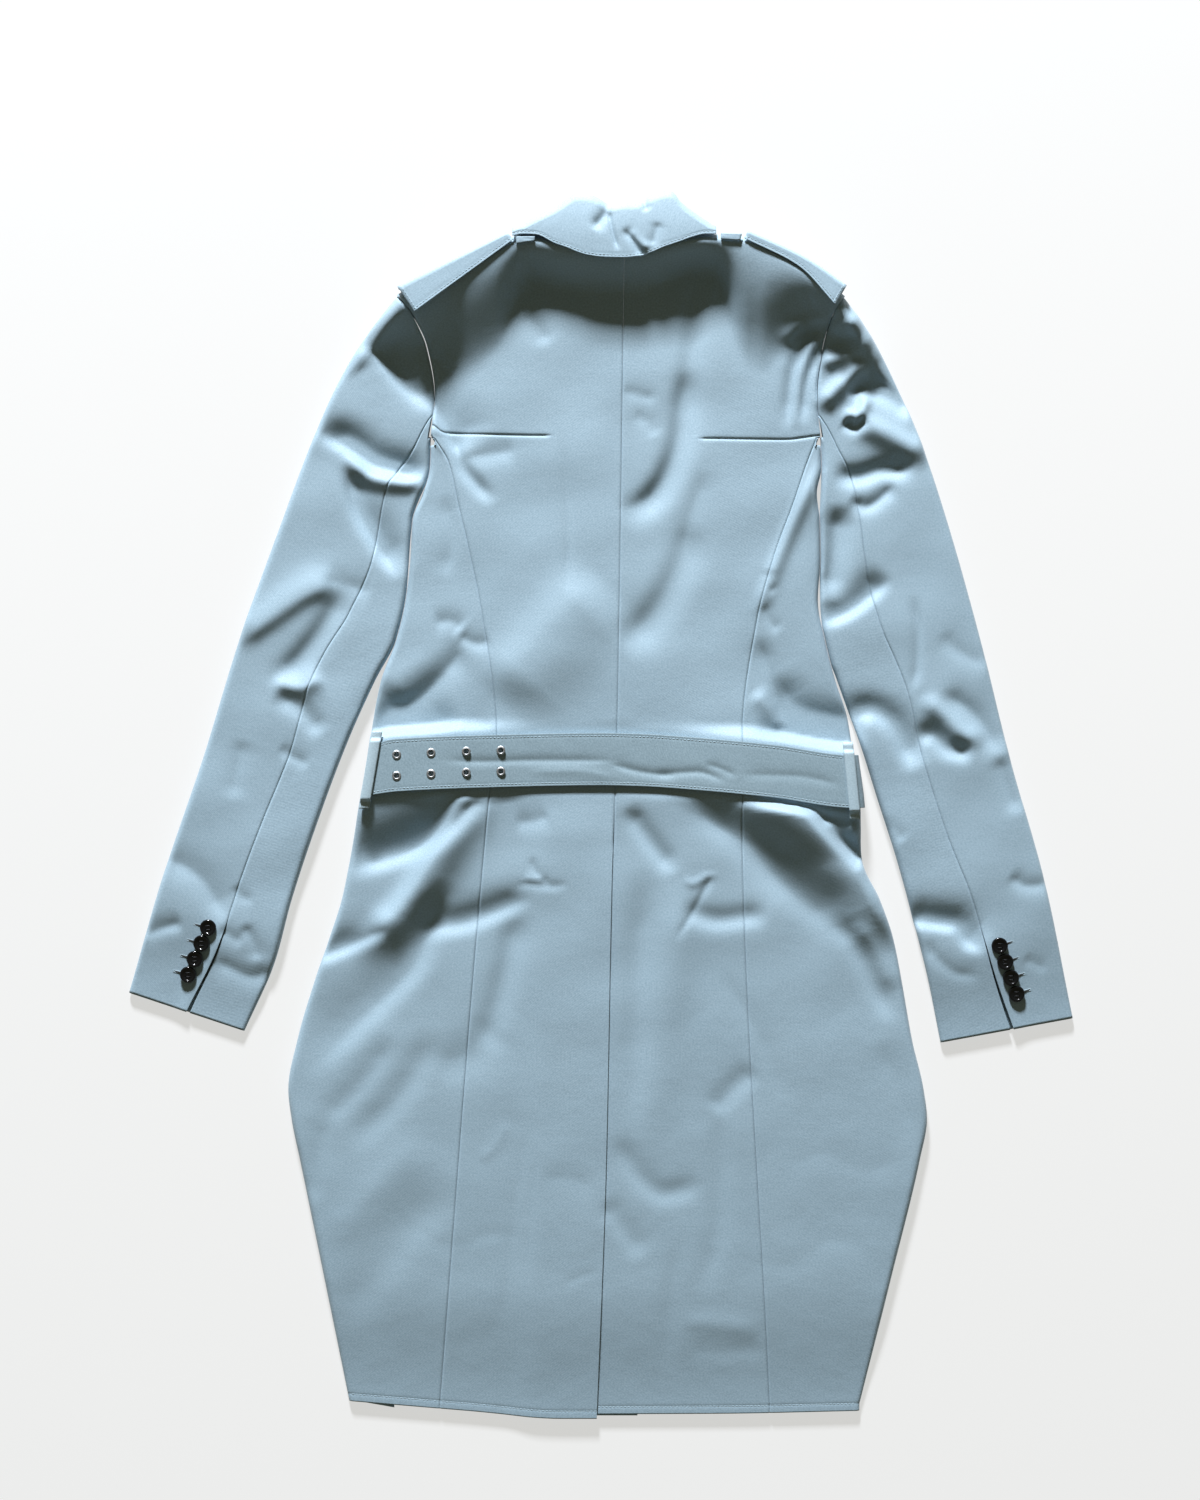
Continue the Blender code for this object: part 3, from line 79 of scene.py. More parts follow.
# The laid coat is thicker at its shoulders: how much, and how far below the shoulder line the cloth
# starts and ends its fall: x, start, end
SHOULDER_RISE = 25.0
SHOULDER_FALL = (
    (-205, 8, 50), (-170, 8, 58), (-140, 8, 70), (-110, 8, 92), (-95, 8, 90), (-84, 8, 74), (-74, 8, 58),
    (-62, 8, 44), (-35, 10, 46), (0, 10, 47), (30, 10, 47), (60, 8, 37), (80, 8, 35), (92, 8, 38),
    (104, 8, 64), (113, 8, 96), (121, 8, 112), (131, 8, 114), (146, 8, 96), (161, 8, 74), (176, 8, 56),
    (205, 8, 48),
)

# The belt gathers the waist: x, and how much thicker the cloth lies there
WAIST_RISE = ((-217, 9), (-150, 9), (-60, 0), (45, 0), (140, 10), (217, 10))
# It falls back over a distance above and one below the belt, beyond this margin: x, above, below
WAIST_MARGIN = 1.5
WAIST_FALL = (
    (-217, 12, 56), (-190, 10, 54), (-160, 10, 46), (-132, 14, 30), (-112, 14, 14), (-60, 12, 12),
    (45, 12, 12), (80, 12, 24), (125, 14, 44), (160, 12, 56), (200, 10, 46), (217, 10, 40),
)

# A folded edge turns on this share of the cloth's height, between these two radii
FOLD_ROUND = 0.45
FOLD_RADIUS = (3.5, 11.0)
WAIST_TURN = FOLD_ROUND * (REST_HEIGHT + WAIST_RISE[-1][1])
TURN_STEPS = 8
# A fold turns along its rows, or square to its edge where they slant: the share of a row at which its
# slant is felt, and how fast the one way gives over to the other
ROW_FEEL = 0.94
SLANT_SHARE = 1.6
SLANT_LOSS = 0.4

# Steps of the cloth's grid, and the closer ones beside a seam and above a hem
CLOTH_STEP = 2.5
HIDDEN_STEP = 5.0
FINE_STEP = 1.3
YOKE_LENGTH = 145.0
SKIRT_LENGTH = 825.0
SEAM_MARGIN = np.array([0.0, 0.4, 0.8, 1.3, 2.2, 4.0])
HEM_MARGIN = np.array([10.0, 8.3, 7.3, 6.5, 5.7, 4.6, 2.6, 1.0, 0.0])
# Width over which a panel's columns are counted, and the number of its columns underneath
COLUMN_WIDTH = {
    "back": 140.0, "side_back": 100.0, "front": 220.0, "top_sleeve": 75.0, "under_sleeve": 45.0,
    "collar": 36.0, "strap": 18.0,
}
UNDER_COLUMNS = {"side_back": 8, "top_sleeve": 20, "under_sleeve": 10, "collar": 8}
# Rows lie closer over this many times the rounding at the shoulder line
SHOULDER_REACH = 1.15

# A sewn seam sinks between its two panels: depth, and the distance over which it comes up
SEAM_DEPTH = 0.7
SEAM_HALF = 0.8
ARMHOLE_DEPTH = 1.6
ARMHOLE_HALF = 1.6

# A row of stitches sinks into the cloth: depth, half width and distance from the edge
STITCH_DEPTH = 0.3
STITCH_HALF = 0.8
HEM_STITCH = 6.5
# The stitches: from one to the next, length, radius of the thread and how deep it lies
STITCH_PITCH = 3.2
STITCH_LENGTH = 2.3
THREAD_RADIUS = 0.28
THREAD_SUNK = 0.1
# Corners round a stitch, and its rings: share of its length, share of its radius
STITCH_SIDES = 6
STITCH_RINGS = ((0.0, 0.35), (0.12, 0.85), (0.5, 1.0), (0.88, 0.85), (1.0, 0.35))

# Side edges of the laid body: y, left x, right x
SIDE_EDGE = (
    (318, -151, 184), (292, -152, 185), (270, -158, 181), (247, -167, 183.5), (212, -169, 184),
    (178, -173, 182), (144, -181, 188), (109, -194, 197), (75, -201, 208), (40, -206, 213), (0, -213, 218),
    (-46, -221, 220), (-80, -228, 235), (-114, -239, 247), (-149, -251, 254), (-200, -266, 263),
    (-243, -274, 273), (-269, -271, 276), (-303, -264, 270), (-410, -242, 244), (-515, -221, 218),
)

# Armholes, from the shoulder point to the armpit: y, left x, right x
ARMHOLE = ((437, -179, 204), (420, -165, 193), (395, -154, 186), (355, -148, 181), (318, -151, 184))

# Side-back seams, from the armpit to the hem: y, left x, right x
SIDE_BACK_SEAM = (
    (320, -150, 182), (295, -135, 172), (260, -127, 160), (215, -116.5, 143.5), (162, -106, 129.5),
    (62, -94, 116.5), (15, -100, 116.5), (-515, -143.5, 140.5),
)

# Slashes sewn closed across the back, from the armhole to their end in mid panel: x, y
YOKE_SLASH = {
    "left": ((-165, 329), (-150, 328), (-140, 322), (-48, 319), (20, 319)),
    "right": ((20, 316.5), (80, 316.5), (153, 315.6), (183, 319), (200, 320)),
}
SLASH_END = {"left": -47.5, "right": 79.5}
SLASH_DEPTH = 1.0
SLASH_HALF = 1.1
SLASH_FADE = 5.0
SLASH_MARGIN = np.array([4.2, 2.4, 1.5, 0.9, 0.4, 0.0, -0.4, -0.9, -1.5, -2.4, -4.2])

# Centre-back seam and hem: y, x of the seam; x, y of the hem on either side of the vent
CENTRE_SEAM = ((490, 15.5), (62, 9), (-63, 4.7), (-312, -0.4), (-530, -8.5))
LEFT_HEM = ((-222, -511.5), (-120, -520), (-37, -526.5), (0, -526.5))
RIGHT_HEM = ((-10, -523), (100, -522.5), (220, -520))

# Shoulder and neck edge of the body: x, y
SHOULDER_LINE = (
    (-260, 398), (-180, 438), (-100, 477.5), (-84, 485.5), (-73, 490.5), (-55, 488), (0, 483), (45, 485.5),
    (80, 490), (100, 489.5), (124, 487), (134, 482.5), (163, 467), (204, 437), (270, 390),
)
NECK_HALF_WIDTH = 84.0

# Underneath: side seams inside the side folds, and the fronts' lap at the middle
SIDE_SEAM_INSET = ((318, 2), (300, 14), (230, 38), (-530, 38))
FRONT_LAP = 35.0
LAP_RAISE = WALL + 0.6
# The raise starts this far outside the lap and is full after the second distance
LAP_APPROACH = (52.0, 26.0)
FRONT_NECK_DROP = 115.0
FRONT_NECK_FADE = 300.0
FRONT_HEM_SHORT = 2.0
NECK_MIDDLE_X = 5.0
NECK_CURVE = 90.0
# The front meets the back along the shoulder and leaves it beside the neck: how far outside the neck
# that starts, and the run it takes
NECK_MEET = (8.0, 22.0)

# Heights at which the panels' widths at the neck, the shoulder tip and the hem are read
NECK_Y = 480.0
SHOULDER_TIP_Y = 436.0
SLASH_Y = 320.0
HEM_Y = -515.0

# The folded edge's rows on a side back start lower than the seam's, and catch up further down
SIDE_BACK_TOP = 317.6
EDGE_DROP = 7.0
EDGE_DROP_RUN = 90.0
# Stretch above the hem over which those rows take on its slant
HEM_SLANT_RUN = 100.0

# Runs over which the centre seam opens into the vent, and the side-back seam becomes the armhole's
VENT_OPENING = 6.0
ARMPIT_RUN = 12.0

# Vent: its top, the underlap on the right back, and how the left back rises over it
VENT_TOP = -38.0
UNDERLAP = 40.0
UNDERLAP_START = 3.0
UNDERLAP_COLUMNS = 14
VENT_RAISE = WALL + 0.45
VENT_SIDE_APPROACH = (12.0, 30.0)
VENT_TOP_APPROACH = (10.0, 34.0)

# Sleeve edges from the shoulder to the cuff, as the laid sleeve shows them: x, y
SLEEVE_OUTER = {
    "left": (
        (-180, 437), (-209, 402), (-230, 367), (-253, 316), (-279, 247), (-316, 144), (-348, 40),
        (-383, -63), (-411.5, -160),
    ),
    "right": (
        (204, 436), (229, 402), (248, 367), (270, 316), (293, 247), (322, 144), (348, 40),
        (377, -63), (402, -182),
    ),
}
SLEEVE_INNER = {
    "left": (
        (-151, 318), (-152, 292), (-167, 247), (-173, 178), (-181, 144), (-199, 109), (-222, 58),
        (-248, -11), (-271, -80), (-285, -132), (-312, -193),
    ),
    "right": (
        (184, 318), (185, 292), (183.5, 247), (184, 178), (188, 140), (198.5, 109), (217, 58),
        (233.5, 6), (250, -46), (264, -97), (277, -149), (288, -203),
    ),
}
SLEEVE_LENGTH = 640.0
SLEEVE_JOINS_BODY_ABOVE = 100.0
# The rows fan out round the armpit: how much slower they start down the inner edge
ARMPIT_FAN = 0.7
# The inner fold starts tight at the armpit: its share of the full radius, and the run to reach it
ARMPIT_ROUND = 0.45
ARMPIT_ROUND_RUN = 0.08
# Share of the sleeve's length over which its rows follow the armhole
ARMHOLE_BLEND = 0.22
# The sleeve's seam slants across its rows near the top, so its gap is wider there: by this many times
# its width, over this share of the sleeve's length
SLANT_WIDENING = 3.2
SLANT_RUN = 0.28
# Share of its length, from the cuff, over which the sleeve flattens
CUFF_EASE = 0.16

# Sleeve back seam: share of the way down the sleeve, share of its width on the left and the right
SLEEVE_SEAM = (
    (0, 0.16, 0.16), (0.1, 0.21, 0.24), (0.2, 0.28, 0.35), (0.3, 0.29, 0.36), (0.4, 0.36, 0.38),
    (0.5, 0.41, 0.42), (0.6, 0.37, 0.39), (0.7, 0.40, 0.40), (0.8, 0.42, 0.45), (0.9, 0.44, 0.48),
    (1, 0.50, 0.55),
)
UNDER_SEAM_SHARE = 0.28

# The cuff's vent: the top sleeve's edge lies this much over the under sleeve, from this share down,
# and the under sleeve's edge draws back from it towards the cuff
CUFF_VENT_TOP = 0.84
CUFF_VENT_RUN = 0.03
CUFF_VENT_RAISE = 1.3
CUFF_VENT_HALF = 9.0
CUFF_VENT_GAP = 3.0

# Belt: its centre line across the back as x, y, and its run underneath
BELT_WIDTH = 45.0
BELT_LINE = (
    (-206, 31), (-180, 36), (-97, 39.5), (-5, 41.2), (27, 40.5), (77, 37.2), (142, 31), (211, 22),
    (230, 22),
)
BELT_TIP_X = -204.0
BELT_TIP_SLANT = 6.0
BELT_TIP_RUN = 20.0
BELT_TURN_GAP = 1.3
BELT_UNDER_Y = 22.0
BELT_UNDER_END = -128.0
BELT_ROOM = 3.6
BELT_ROOM_MARGIN = 3.0
BELT_ROOM_SLOPE = 14.0
# Folds are flat under the belt and reach their height this far beyond its edges, on the body
BELT_MARGIN = 3.0
BELT_PRESS = 9.0
BELT_STITCH = 2.6
# Rows of the belt's grid: across the back, round the fold and underneath, and where the last start
BELT_ROWS = 180
BELT_TURN_STEPS = 12
BELT_UNDER_ROWS = 40
BELT_UNDER_START = 6.0
# Creases of the stiffened belt: height, width on the left and on the right of the run, points x, y
BELT_CREASES = (
    (-1.0, 4, 3, ((-150, 41), (-110, 39), (-60, 40), (20, 40))), (-1.2, 4, 3, ((0, 38), (30, 30), (62, 26))),
    (-1.2, 4, 3, ((40, 27), (78, 30), (104, 21))), (-0.8, 3, 3, ((84, 38), (100, 32), (112, 26))),
    (-0.7, 4, 4, ((110, 28), (160, 27), (205, 18))), (0.6, 4, 5, ((-70, 30), (-30, 31), (14, 24))),
)

# Collar: x, stitched edge of the fall, roll at the top outline, edge of the leaf underneath
COLLAR = (
    (-80, 485.5, 494.5, 452), (-71, 487, 499, 430), (-60, 486.5, 505, 418), (-44, 479, 513, 424),
    (-32, 474.7, 521, 440), (-26, 472, 524.5, 452), (-15, 468.7, 524, 478), (-4, 467.3, 519, 496),
    (4, 467, 515, 502), (15, 466.8, 517, 504), (27, 468.2, 517.5, 502), (38, 471.3, 523, 496),
    (49, 476, 526.5, 478), (55, 478, 527, 458), (63, 480.8, 518, 440), (73, 484.5, 509.5, 424),
    (84, 487, 502, 418), (93, 487, 496, 446),
)
COLLAR_FOLD = 9.0
COLLAR_FOLD_SHARE = 0.7
COLLAR_LEAF_LEAST = 2.0
COLLAR_STITCH = 2.2
# The fall stands level off the back, and droops towards the roll beyond this height
COLLAR_LEVEL = REST_HEIGHT + SHOULDER_RISE + COLLAR_WALL + SLOPE_GAP
COLLAR_DROOP_Y = 480.0
COLLAR_DROOP = 0.003
# The roll is pinched at the middle of the neck: height, widths, points x, y
COLLAR_CREASES = (
    (1.6, 3, 3, ((5, 516), (2.3, 507), (11, 513.7))), (-3.5, 5, 4, ((6, 520), (-2, 504), (-13, 490))),
    (-2.6, 1.6, 1.6, ((1.6, 511), (3.7, 495), (10, 472))),
    (-3.0, 4, 3, ((13, 492), (22.5, 481.6), (28.6, 472), (38, 467))),
    (1.8, 3.5, 3, ((18, 491), (28, 480), (38, 472))), (-2.4, 3, 2, ((26, 521), (31, 513), (35, 506))),
    (-1.5, 5, 4, ((44, 498), (41, 486), (37, 476))),
)
COLLAR_ROOM = 2.8
COLLAR_ROOM_START = 396.0
COLLAR_ROOM_MIDDLE = 6.0
COLLAR_ROOM_HALF = 106.0
COLLAR_ROOM_SLOPES = (16.0, 40.0)

# Shoulder straps: share of the way from the armhole, lower edge x and y, outline x and y
STRAPS = {
    "left": ((0, -163, 421, -178.5, 444.5), (1, -79, 482.5, -86.5, 490)),
    "right": ((0, 194, 427, 205, 445.5), (0.45, 163.5, 459.5, 168.5, 470), (1, 117, 483.5, 121.5, 492)),
}
# A strap is stiff: it stands level off the shoulder, and tips a little towards the outline
STRAP_LEVEL = REST_HEIGHT + SHOULDER_RISE + STRAP_WALL + SLOPE_GAP
STRAP_TIP = 0.04
STRAP_ROUND = 4.0
STRAP_ROUND_SHARE = 0.5
STRAP_WIDEST = 30.0
STRAP_UNDER = -2.0
STRAP_STITCH = 2.4
STRAP_ROWS = 42
# Keepers: share of the way towards the collar, lower edge x and y, upper edge x and y
KEEPERS = {
    "left": ((0, -76.5, 478.5, -77, 484.6), (1, -61, 481.5, -61, 484.8)),
    "right": ((0, 113.5, 481.5, 115, 487), (1, 97, 482.5, 97, 487.5)),
}
# Places round a keeper's point where the cloth under it is felt for its highest
KEEPER_FEELERS = ((0, 0), (0, -4), (0, -8), (-5, -4), (5, -4))
KEEPER_ROWS = 10
KEEPER_COLUMNS = 7

# Eyelets, turned about their axis, and the pins that cut their holes in the belt
EYELET_COUNT = 8
EYELET_HOLE = 2.15
EYELET_BARREL = 2.7
EYELET_FLANGE = 3.9
EYELET_LIP = 0.7
EYELET_CLEARANCE = 0.3
EYELET_PIN_LENGTH = 20.0
EYELET_PIN_SIDES = 32
TURNING_STEPS = 48
# A turned piece is smooth but for edges sharper than this, in degrees
SHARP_ANGLE = {"eyelet_nickel": 50.0, "button_resin": 40.0}

# Belt loops: centre x at the loop's top and bottom, and its ends above and below the belt
LOOPS = {"left": (-196.0, -207.0, 60.0, 4.0), "right": (206.0, 212.5, 51.0, -5.0)}
LOOP_WIDTH = 9.0
LOOP_FOOT = 5.0
LOOP_CLEAR = 2.0
LOOP_FEEL = 2.5
LOOP_BOW = 0.7
# It comes down beside the belt over this many times its clearance
LOOP_FALL = 1.5
LOOP_ROWS = 60
LOOP_COLUMNS = 9

# Cuff buttons. Their half section runs from the middle of the face down the outer side: share of the
# radius, height
BUTTON_DIAMETER = 14.2
BUTTONS_EACH = 4
BUTTON_PROFILE = (
    (0.0, 1.9), (0.5, 1.9), (0.58, 2.02), (0.66, 2.4), (0.74, 2.85), (0.84, 3.0), (0.92, 2.8),
    (0.98, 2.2), (1.0, 1.6), (0.97, 0.9), (0.88, 0.2), (0.8, 0.0), (0.0, 0.0),
)
BUTTON_HOLE = 0.8
BUTTON_HOLE_OFFSET = 1.7
BUTTON_PIN_LENGTH = 10.0
BUTTON_PIN_SIDES = 20
BUTTON_THREAD = 0.3
BUTTON_THREAD_LEVEL = 2.0

# The worked hole beside each button: how far away it ends, and the way it runs
BUTTONHOLE_LENGTH = 13.0
BUTTONHOLE_WAY = {"left": (-0.97, 0.23), "right": (0.96, 0.28)}
# Its stitches on each side, from one to the next, and how far they reach from its middle line
BUTTONHOLE_STITCHES = 20
BUTTONHOLE_PITCH = 0.55
BUTTONHOLE_REACH = (0.25, 1.25)
# Half its bar, where its slit starts and ends, the slit's radius, and how high the thread lies
BUTTONHOLE_BAR = 1.4
# The buttonhole's slit is a dark thread along its middle: painted shade where the opening lies in shadow.
BUTTONHOLE_SLIT_SHADE = (0.8, 10.0)
SLIT_SHADE_RADIUS = 0.45
THREAD_LIFT = 0.05

# The largest folds: height, width on the left and on the right of the fold's run, points x, y
FOLDS = (
    # skirt, left
    (12, 20, 12, ((-98, 34), (-120, 4), (-143, -38), (-168, -80), (-186, -100), (-228, -118))),
    (-7, 9, 24, ((-100, 24), (-132, -14), (-160, -32), (-188, -42), (-228, -53))),
    (-7, 11, 27, ((-132, -62), (-152, -98), (-166, -134), (-196, -166), (-226, -196), (-262, -232))),
    (-6, 14, 6, ((-256, -132), (-220, -118), (-186, -101))),
    (-5, 13, 8, ((-164, -104), (-128, -100), (-98, -90), (-62, -74))),
    (-4.5, 13, 11, ((-76, -84), (-84, -130), (-94, -170), (-106, -212))),
    (-3.5, 9, 11, ((-182, -196), (-208, -234), (-248, -276))),
    (-4.5, 11, 13, ((-146, -192), (-172, -240), (-198, -270), (-224, -292))),
    (-3.5, 16, 14, ((-92, -184), (-118, -214), (-152, -226))),
    (3.5, 20, 15, ((-152, -282), (-192, -324), (-244, -378))),
    (-4.5, 17, 22, ((-122, -328), (-160, -352), (-198, -400), (-232, -452))),
    # skirt, right
    (15, 9, 32, ((140, 50), (162, 0), (188, -31), (203, -46), (222, -62), (236, -80), (250, -126))),
    (-7, 14, 10, ((178, 20), (196, -12), (212, -36), (228, -56))),
    (4, 7, 7, ((186, -8), (206, -20), (226, -18))),
    (-4.5, 22, 15, ((66, 8), (105, -18), (150, -60), (200, -104), (214, -120))),
    (-3.5, 9, 8, ((16, 2), (38, -30), (60, -58))),
    (-3.5, 12, 12, ((32, -52), (27, -170), (24, -288))),
    (3.5, 18, 18, ((66, -50), (50, -200), (32, -310))),
    (-4, 9, 9, ((192, -90), (214, -120), (230, -152), (248, -188))),
    (-3.5, 10, 8, ((62, -86), (96, -97), (124, -94), (142, -98))),
    (-4, 9, 10, ((130, -224), (108, -242), (90, -264))),
    (-3.5, 10, 10, ((98, -248), (98, -300), (97, -346), (92, -384), (74, -424))),
    (-4.5, 10, 9, ((8, -280), (26, -314), (50, -332), (88, -322))),
    (-4, 11, 9, ((-4, -336), (12, -358), (32, -388))),
    (-2.5, 8, 8, ((60, -366), (55, -430), (52, -512))),
    (2.5, 9, 8, ((60, -442), (96, -446), (136, -448))),
    (-3, 9, 8, ((66, -466), (100, -470), (142, -466))),
    # back
    (-3, 11, 9, ((77, 474), (73, 400), (66, 330))),
    (-6, 13, 9, ((70, 380), (62, 315), (50, 282), (34, 262), (6, 250))),
    (-4, 16, 12, ((78, 246), (62, 205), (42, 168), (10, 132))),
    (-3.5, 6, 6, ((-134, 330), (-124, 294), (-110, 276), (-96, 260))),
    (-8, 24, 6, ((-154, 394), (-147, 352), (-133, 320), (-124, 300))),
    (-4, 5, 6, ((194, 414), (172, 402), (160, 370), (155, 322))),
    (-4, 5, 5, ((194, 404), (180, 388), (171, 362), (167, 326))),
    (3, 6, 6, ((148, 396), (164, 412), (194, 420))),
    (-7, 24, 7, ((-220, 60), (-186, 66), (-156, 68), (-122, 78))),
    (3, 16, 18, ((-190, 92), (-160, 118), (-128, 134))),
    (-7, 24, 8, ((126, 66), (165, 62), (195, 58), (226, 52))),
    (3.5, 7, 6, ((188, 304), (160, 242), (126, 158))),
    (6, 45, 26, ((0, 196), (-40, 158), (-98, 92))),
    # left sleeve
    (-7, 24, 9, ((-228, 398), (-192, 392), (-176, 374), (-146, 342))),
    (-8, 15, 7, ((-252, 326), (-222, 312), (-200, 297), (-172, 288), (-148, 280))),
    (-7.5, 17, 7, ((-222, 300), (-215, 262), (-199, 232), (-176, 196))),
    (4.5, 6, 7, ((-226, 304), (-200, 281), (-172, 278), (-150, 287))),
    (5, 16, 9, ((-322, 138), (-286, 164), (-252, 186), (-224, 196))),
    (-4.5, 12, 9, ((-222, 192), (-240, 160), (-262, 130), (-290, 102))),
    (-3, 9, 8, ((-286, 98), (-262, 84), (-244, 60))),
    # right sleeve
    (4, 5, 6, ((188, 408), (208, 411), (232, 404))),
    (5, 6, 7, ((180, 380), (200, 386), (226, 396))),
    (6, 7, 8, ((179, 340), (195, 356), (212, 372), (228, 388))),
    (-8, 13, 10, ((204, 352), (226, 360), (248, 352), (268, 336))),
    (5, 5, 5, ((216, 362), (222, 348), (214, 335), (200, 338))),
    (6, 10, 10, ((204, 334), (238, 320), (280, 298))),
    (-6, 9, 8, ((192, 284), (214, 284), (236, 290), (268, 292))),
    (-6, 12, 9, ((200, 262), (197, 222), (190, 176))),
    (-6, 15, 6, ((180, 158), (206, 168), (230, 186), (244, 200))),
    (-7, 13, 8, ((204, 74), (226, 83), (244, 74), (258, 50), (266, 30))),
    (-5, 10, 7, ((262, 60), (278, 62), (294, 50), (318, 45))),
    (4, 8, 8, ((268, 96), (288, 80), (306, 62), (326, 54))),
    (-7, 15, 5, ((250, -94), (280, -99), (300, -102), (311, -116), (328, -124))),
)
FOLD_SHARPNESS = 2.0
# A fold has this many path points for each of its row's, reaches this many widths from its path, and
# fades over this share of it at both ends
FOLD_POINTS = 4
FOLD_REACH = 3.0
FOLD_FADE = 0.25

# Finer creases: height, width on the left and on the right of the run, points x, y
CREASE_SHARPNESS = 1.5
CREASES = (
    # back
    (-2, 10, 8, ((-125, 300), (-100, 303), (-75, 308))),
    (-1, 5, 4, ((-42, 325), (-36, 290), (-33, 240), (-34, 175))),
    (-2, 8, 8, ((-150, 158), (-135, 160), (-122, 152))), (-2, 7, 6, ((-128, 148), (-110, 140), (-98, 143))),
    (-2, 6, 5, ((-125, 66), (-108, 66), (-97, 72))), (-1.5, 8, 10, ((-140, 270), (-133, 235), (-140, 195))),
    (-1.5, 10, 8, ((86, 290), (72, 250), (62, 215))), (-1.5, 5, 5, ((140, 205), (139, 192), (145, 182))),
    (-1.2, 6, 5, ((134, 175), (140, 160), (150, 150))), (-1.2, 6, 6, ((12, 358), (28, 354), (44, 350))),
    (-1, 6, 6, ((22, 338), (36, 330), (44, 318))), (-1.5, 8, 8, ((-72, 428), (-58, 412), (-50, 396))),
    (-3, 7, 6, ((-165, 400), (-152, 388), (-140, 380))),
    (0.8, 2.5, 2.5, ((-152, 330), (-147, 318), (-140, 302))),
    (2.5, 4, 5, ((192, 408), (176, 396), (166, 360), (162, 322))),
    (-3, 8, 8, ((130, 148), (137, 125), (147, 92), (160, 66))),
    (3, 10, 8, ((125, 100), (138, 85), (150, 62))),
    (-5, 14, 10, ((-200, 72), (-175, 84), (-150, 104), (-120, 140))),
    (-5, 12, 18, ((225, 66), (190, 72), (160, 90), (146, 116))),
    # skirt, left
    (-1.2, 3, 3, ((-66, -42), (-60, -56), (-46, -68))),
    (-1, 3, 3, ((-82, -68), (-66, -66), (-50, -68), (-30, -66))),
    (1, 3, 3, ((-72, -60), (-62, -62), (-52, -60))), (-1.5, 8, 7, ((-80, -14), (-62, -12), (-48, -6))),
    (-1.0, 9, 9, ((-176, -352), (-134, -378), (-96, -366), (-60, -372))),
    (-1.5, 8, 7, ((-66, -260), (-76, -330), (-84, -400), (-96, -470))),
    (-1.2, 6, 5, ((-58, -285), (-66, -350), (-72, -420))),
    (1.2, 5, 6, ((-84, -270), (-96, -292), (-112, -306))),
    (-1.2, 8, 8, ((-60, -322), (-34, -318), (-8, -330))),
    (-0.8, 3, 3, ((-38, -412), (-20, -402), (-4, -398))),
    (-1, 6, 6, ((-34, -502), (-20, -490), (-10, -478))), (-1, 4, 4, ((-95, -480), (-95, -498), (-95, -515))),
    (-1, 3, 3, ((-127, -490), (-127, -501), (-126, -512))),
    (-3, 8, 10, ((-238, -262), (-248, -300), (-254, -345))),
    # skirt, right
    (-1.5, 3, 3, ((94, -52), (84, -72), (72, -94), (58, -116))),
    (1.2, 3, 3, ((66, -60), (74, -66), (86, -60), (98, -58))),
    (-1.5, 9, 9, ((98, -140), (116, -170), (140, -214), (158, -262))),
    (-1.2, 12, 10, ((150, -318), (182, -298), (226, -312), (262, -300))),
    (-2, 10, 8, ((232, -200), (250, -240), (262, -290))), (2.5, 9, 9, ((212, -96), (230, -122), (246, -160))),
    (-1.2, 12, 10, ((110, -392), (155, -394), (196, -372), (232, -380))),
    # left sleeve
    (-1.5, 6, 5, ((-282, 52), (-268, 42), (-254, 36))), (-1.5, 10, 8, ((-312, 60), (-318, 30), (-322, 5))),
    (-3, 8, 5, ((-400, -112), (-380, -104), (-362, -100))),
    (-1.5, 6, 6, ((-334, -104), (-322, -112), (-312, -118))),
    (-2, 6, 6, ((-312, -100), (-303, -118), (-300, -134))),
    (-1, 5, 5, ((-322, -68), (-312, -78), (-302, -80))),
    (-2, 10, 9, ((-244, 196), (-222, 190), (-200, 184))), (4, 10, 8, ((-290, 108), (-265, 102), (-240, 112))),
    (-3, 12, 10, ((-385, -40), (-350, -60), (-326, -98))),
    (-4, 7, 10, ((-342, -130), (-322, -140), (-304, -147), (-284, -138))),
    # right sleeve
    (-1.5, 9, 8, ((285, 150), (305, 132), (330, 122))),
    (-2, 4, 5, ((262, 185), (268, 150), (267, 120), (261, 96))),
    (-2.5, 7, 7, ((336, 46), (344, 20), (354, -8))), (-1.2, 6, 5, ((236, -12), (246, -18), (256, -30))),
    (-2, 7, 6, ((345, -58), (362, -68), (382, -66))),
    (-2, 6, 6, ((272, -112), (286, -132), (304, -144), (324, -146))),
    (-1.5, 6, 5, ((358, -130), (366, -134), (380, -140))), (-6, 6, 5, ((204, 334), (214, 326), (224, 334))),
    (-4, 7, 6, ((208, 266), (222, 258), (250, 278))),
    (-3.5, 9, 9, ((286, 100), (308, 86), (324, 70), (340, 42))),
)

# Creases of the hidden cloth underneath, which arch up off the surface it rests on
UNDER_CREASES = (
    (1.2, 7, 9, ((-150, 210), (-90, 188), (-30, 194))), (1.1, 6, 8, ((40, 262), (85, 225), (140, 212))),
    (1.0, 8, 6, ((-170, -60), (-110, -92), (-55, -88))), (1.2, 9, 7, ((60, -120), (120, -150), (190, -148))),
    (1.0, 7, 9, ((-190, -250), (-120, -292), (-60, -340))),
    (1.1, 8, 8, ((90, -300), (140, -352), (205, -372))),
    (1.0, 6, 8, ((-100, -420), (-40, -444), (20, -438))), (1.2, 7, 7, ((-300, 60), (-276, 20), (-290, -40))),
    (1.0, 7, 8, ((-350, -20), (-330, -70), (-318, -110))), (1.1, 7, 7, ((280, 90), (300, 40), (334, 10))),
    (1.0, 8, 6, ((300, -60), (330, -92), (360, -96))),
)

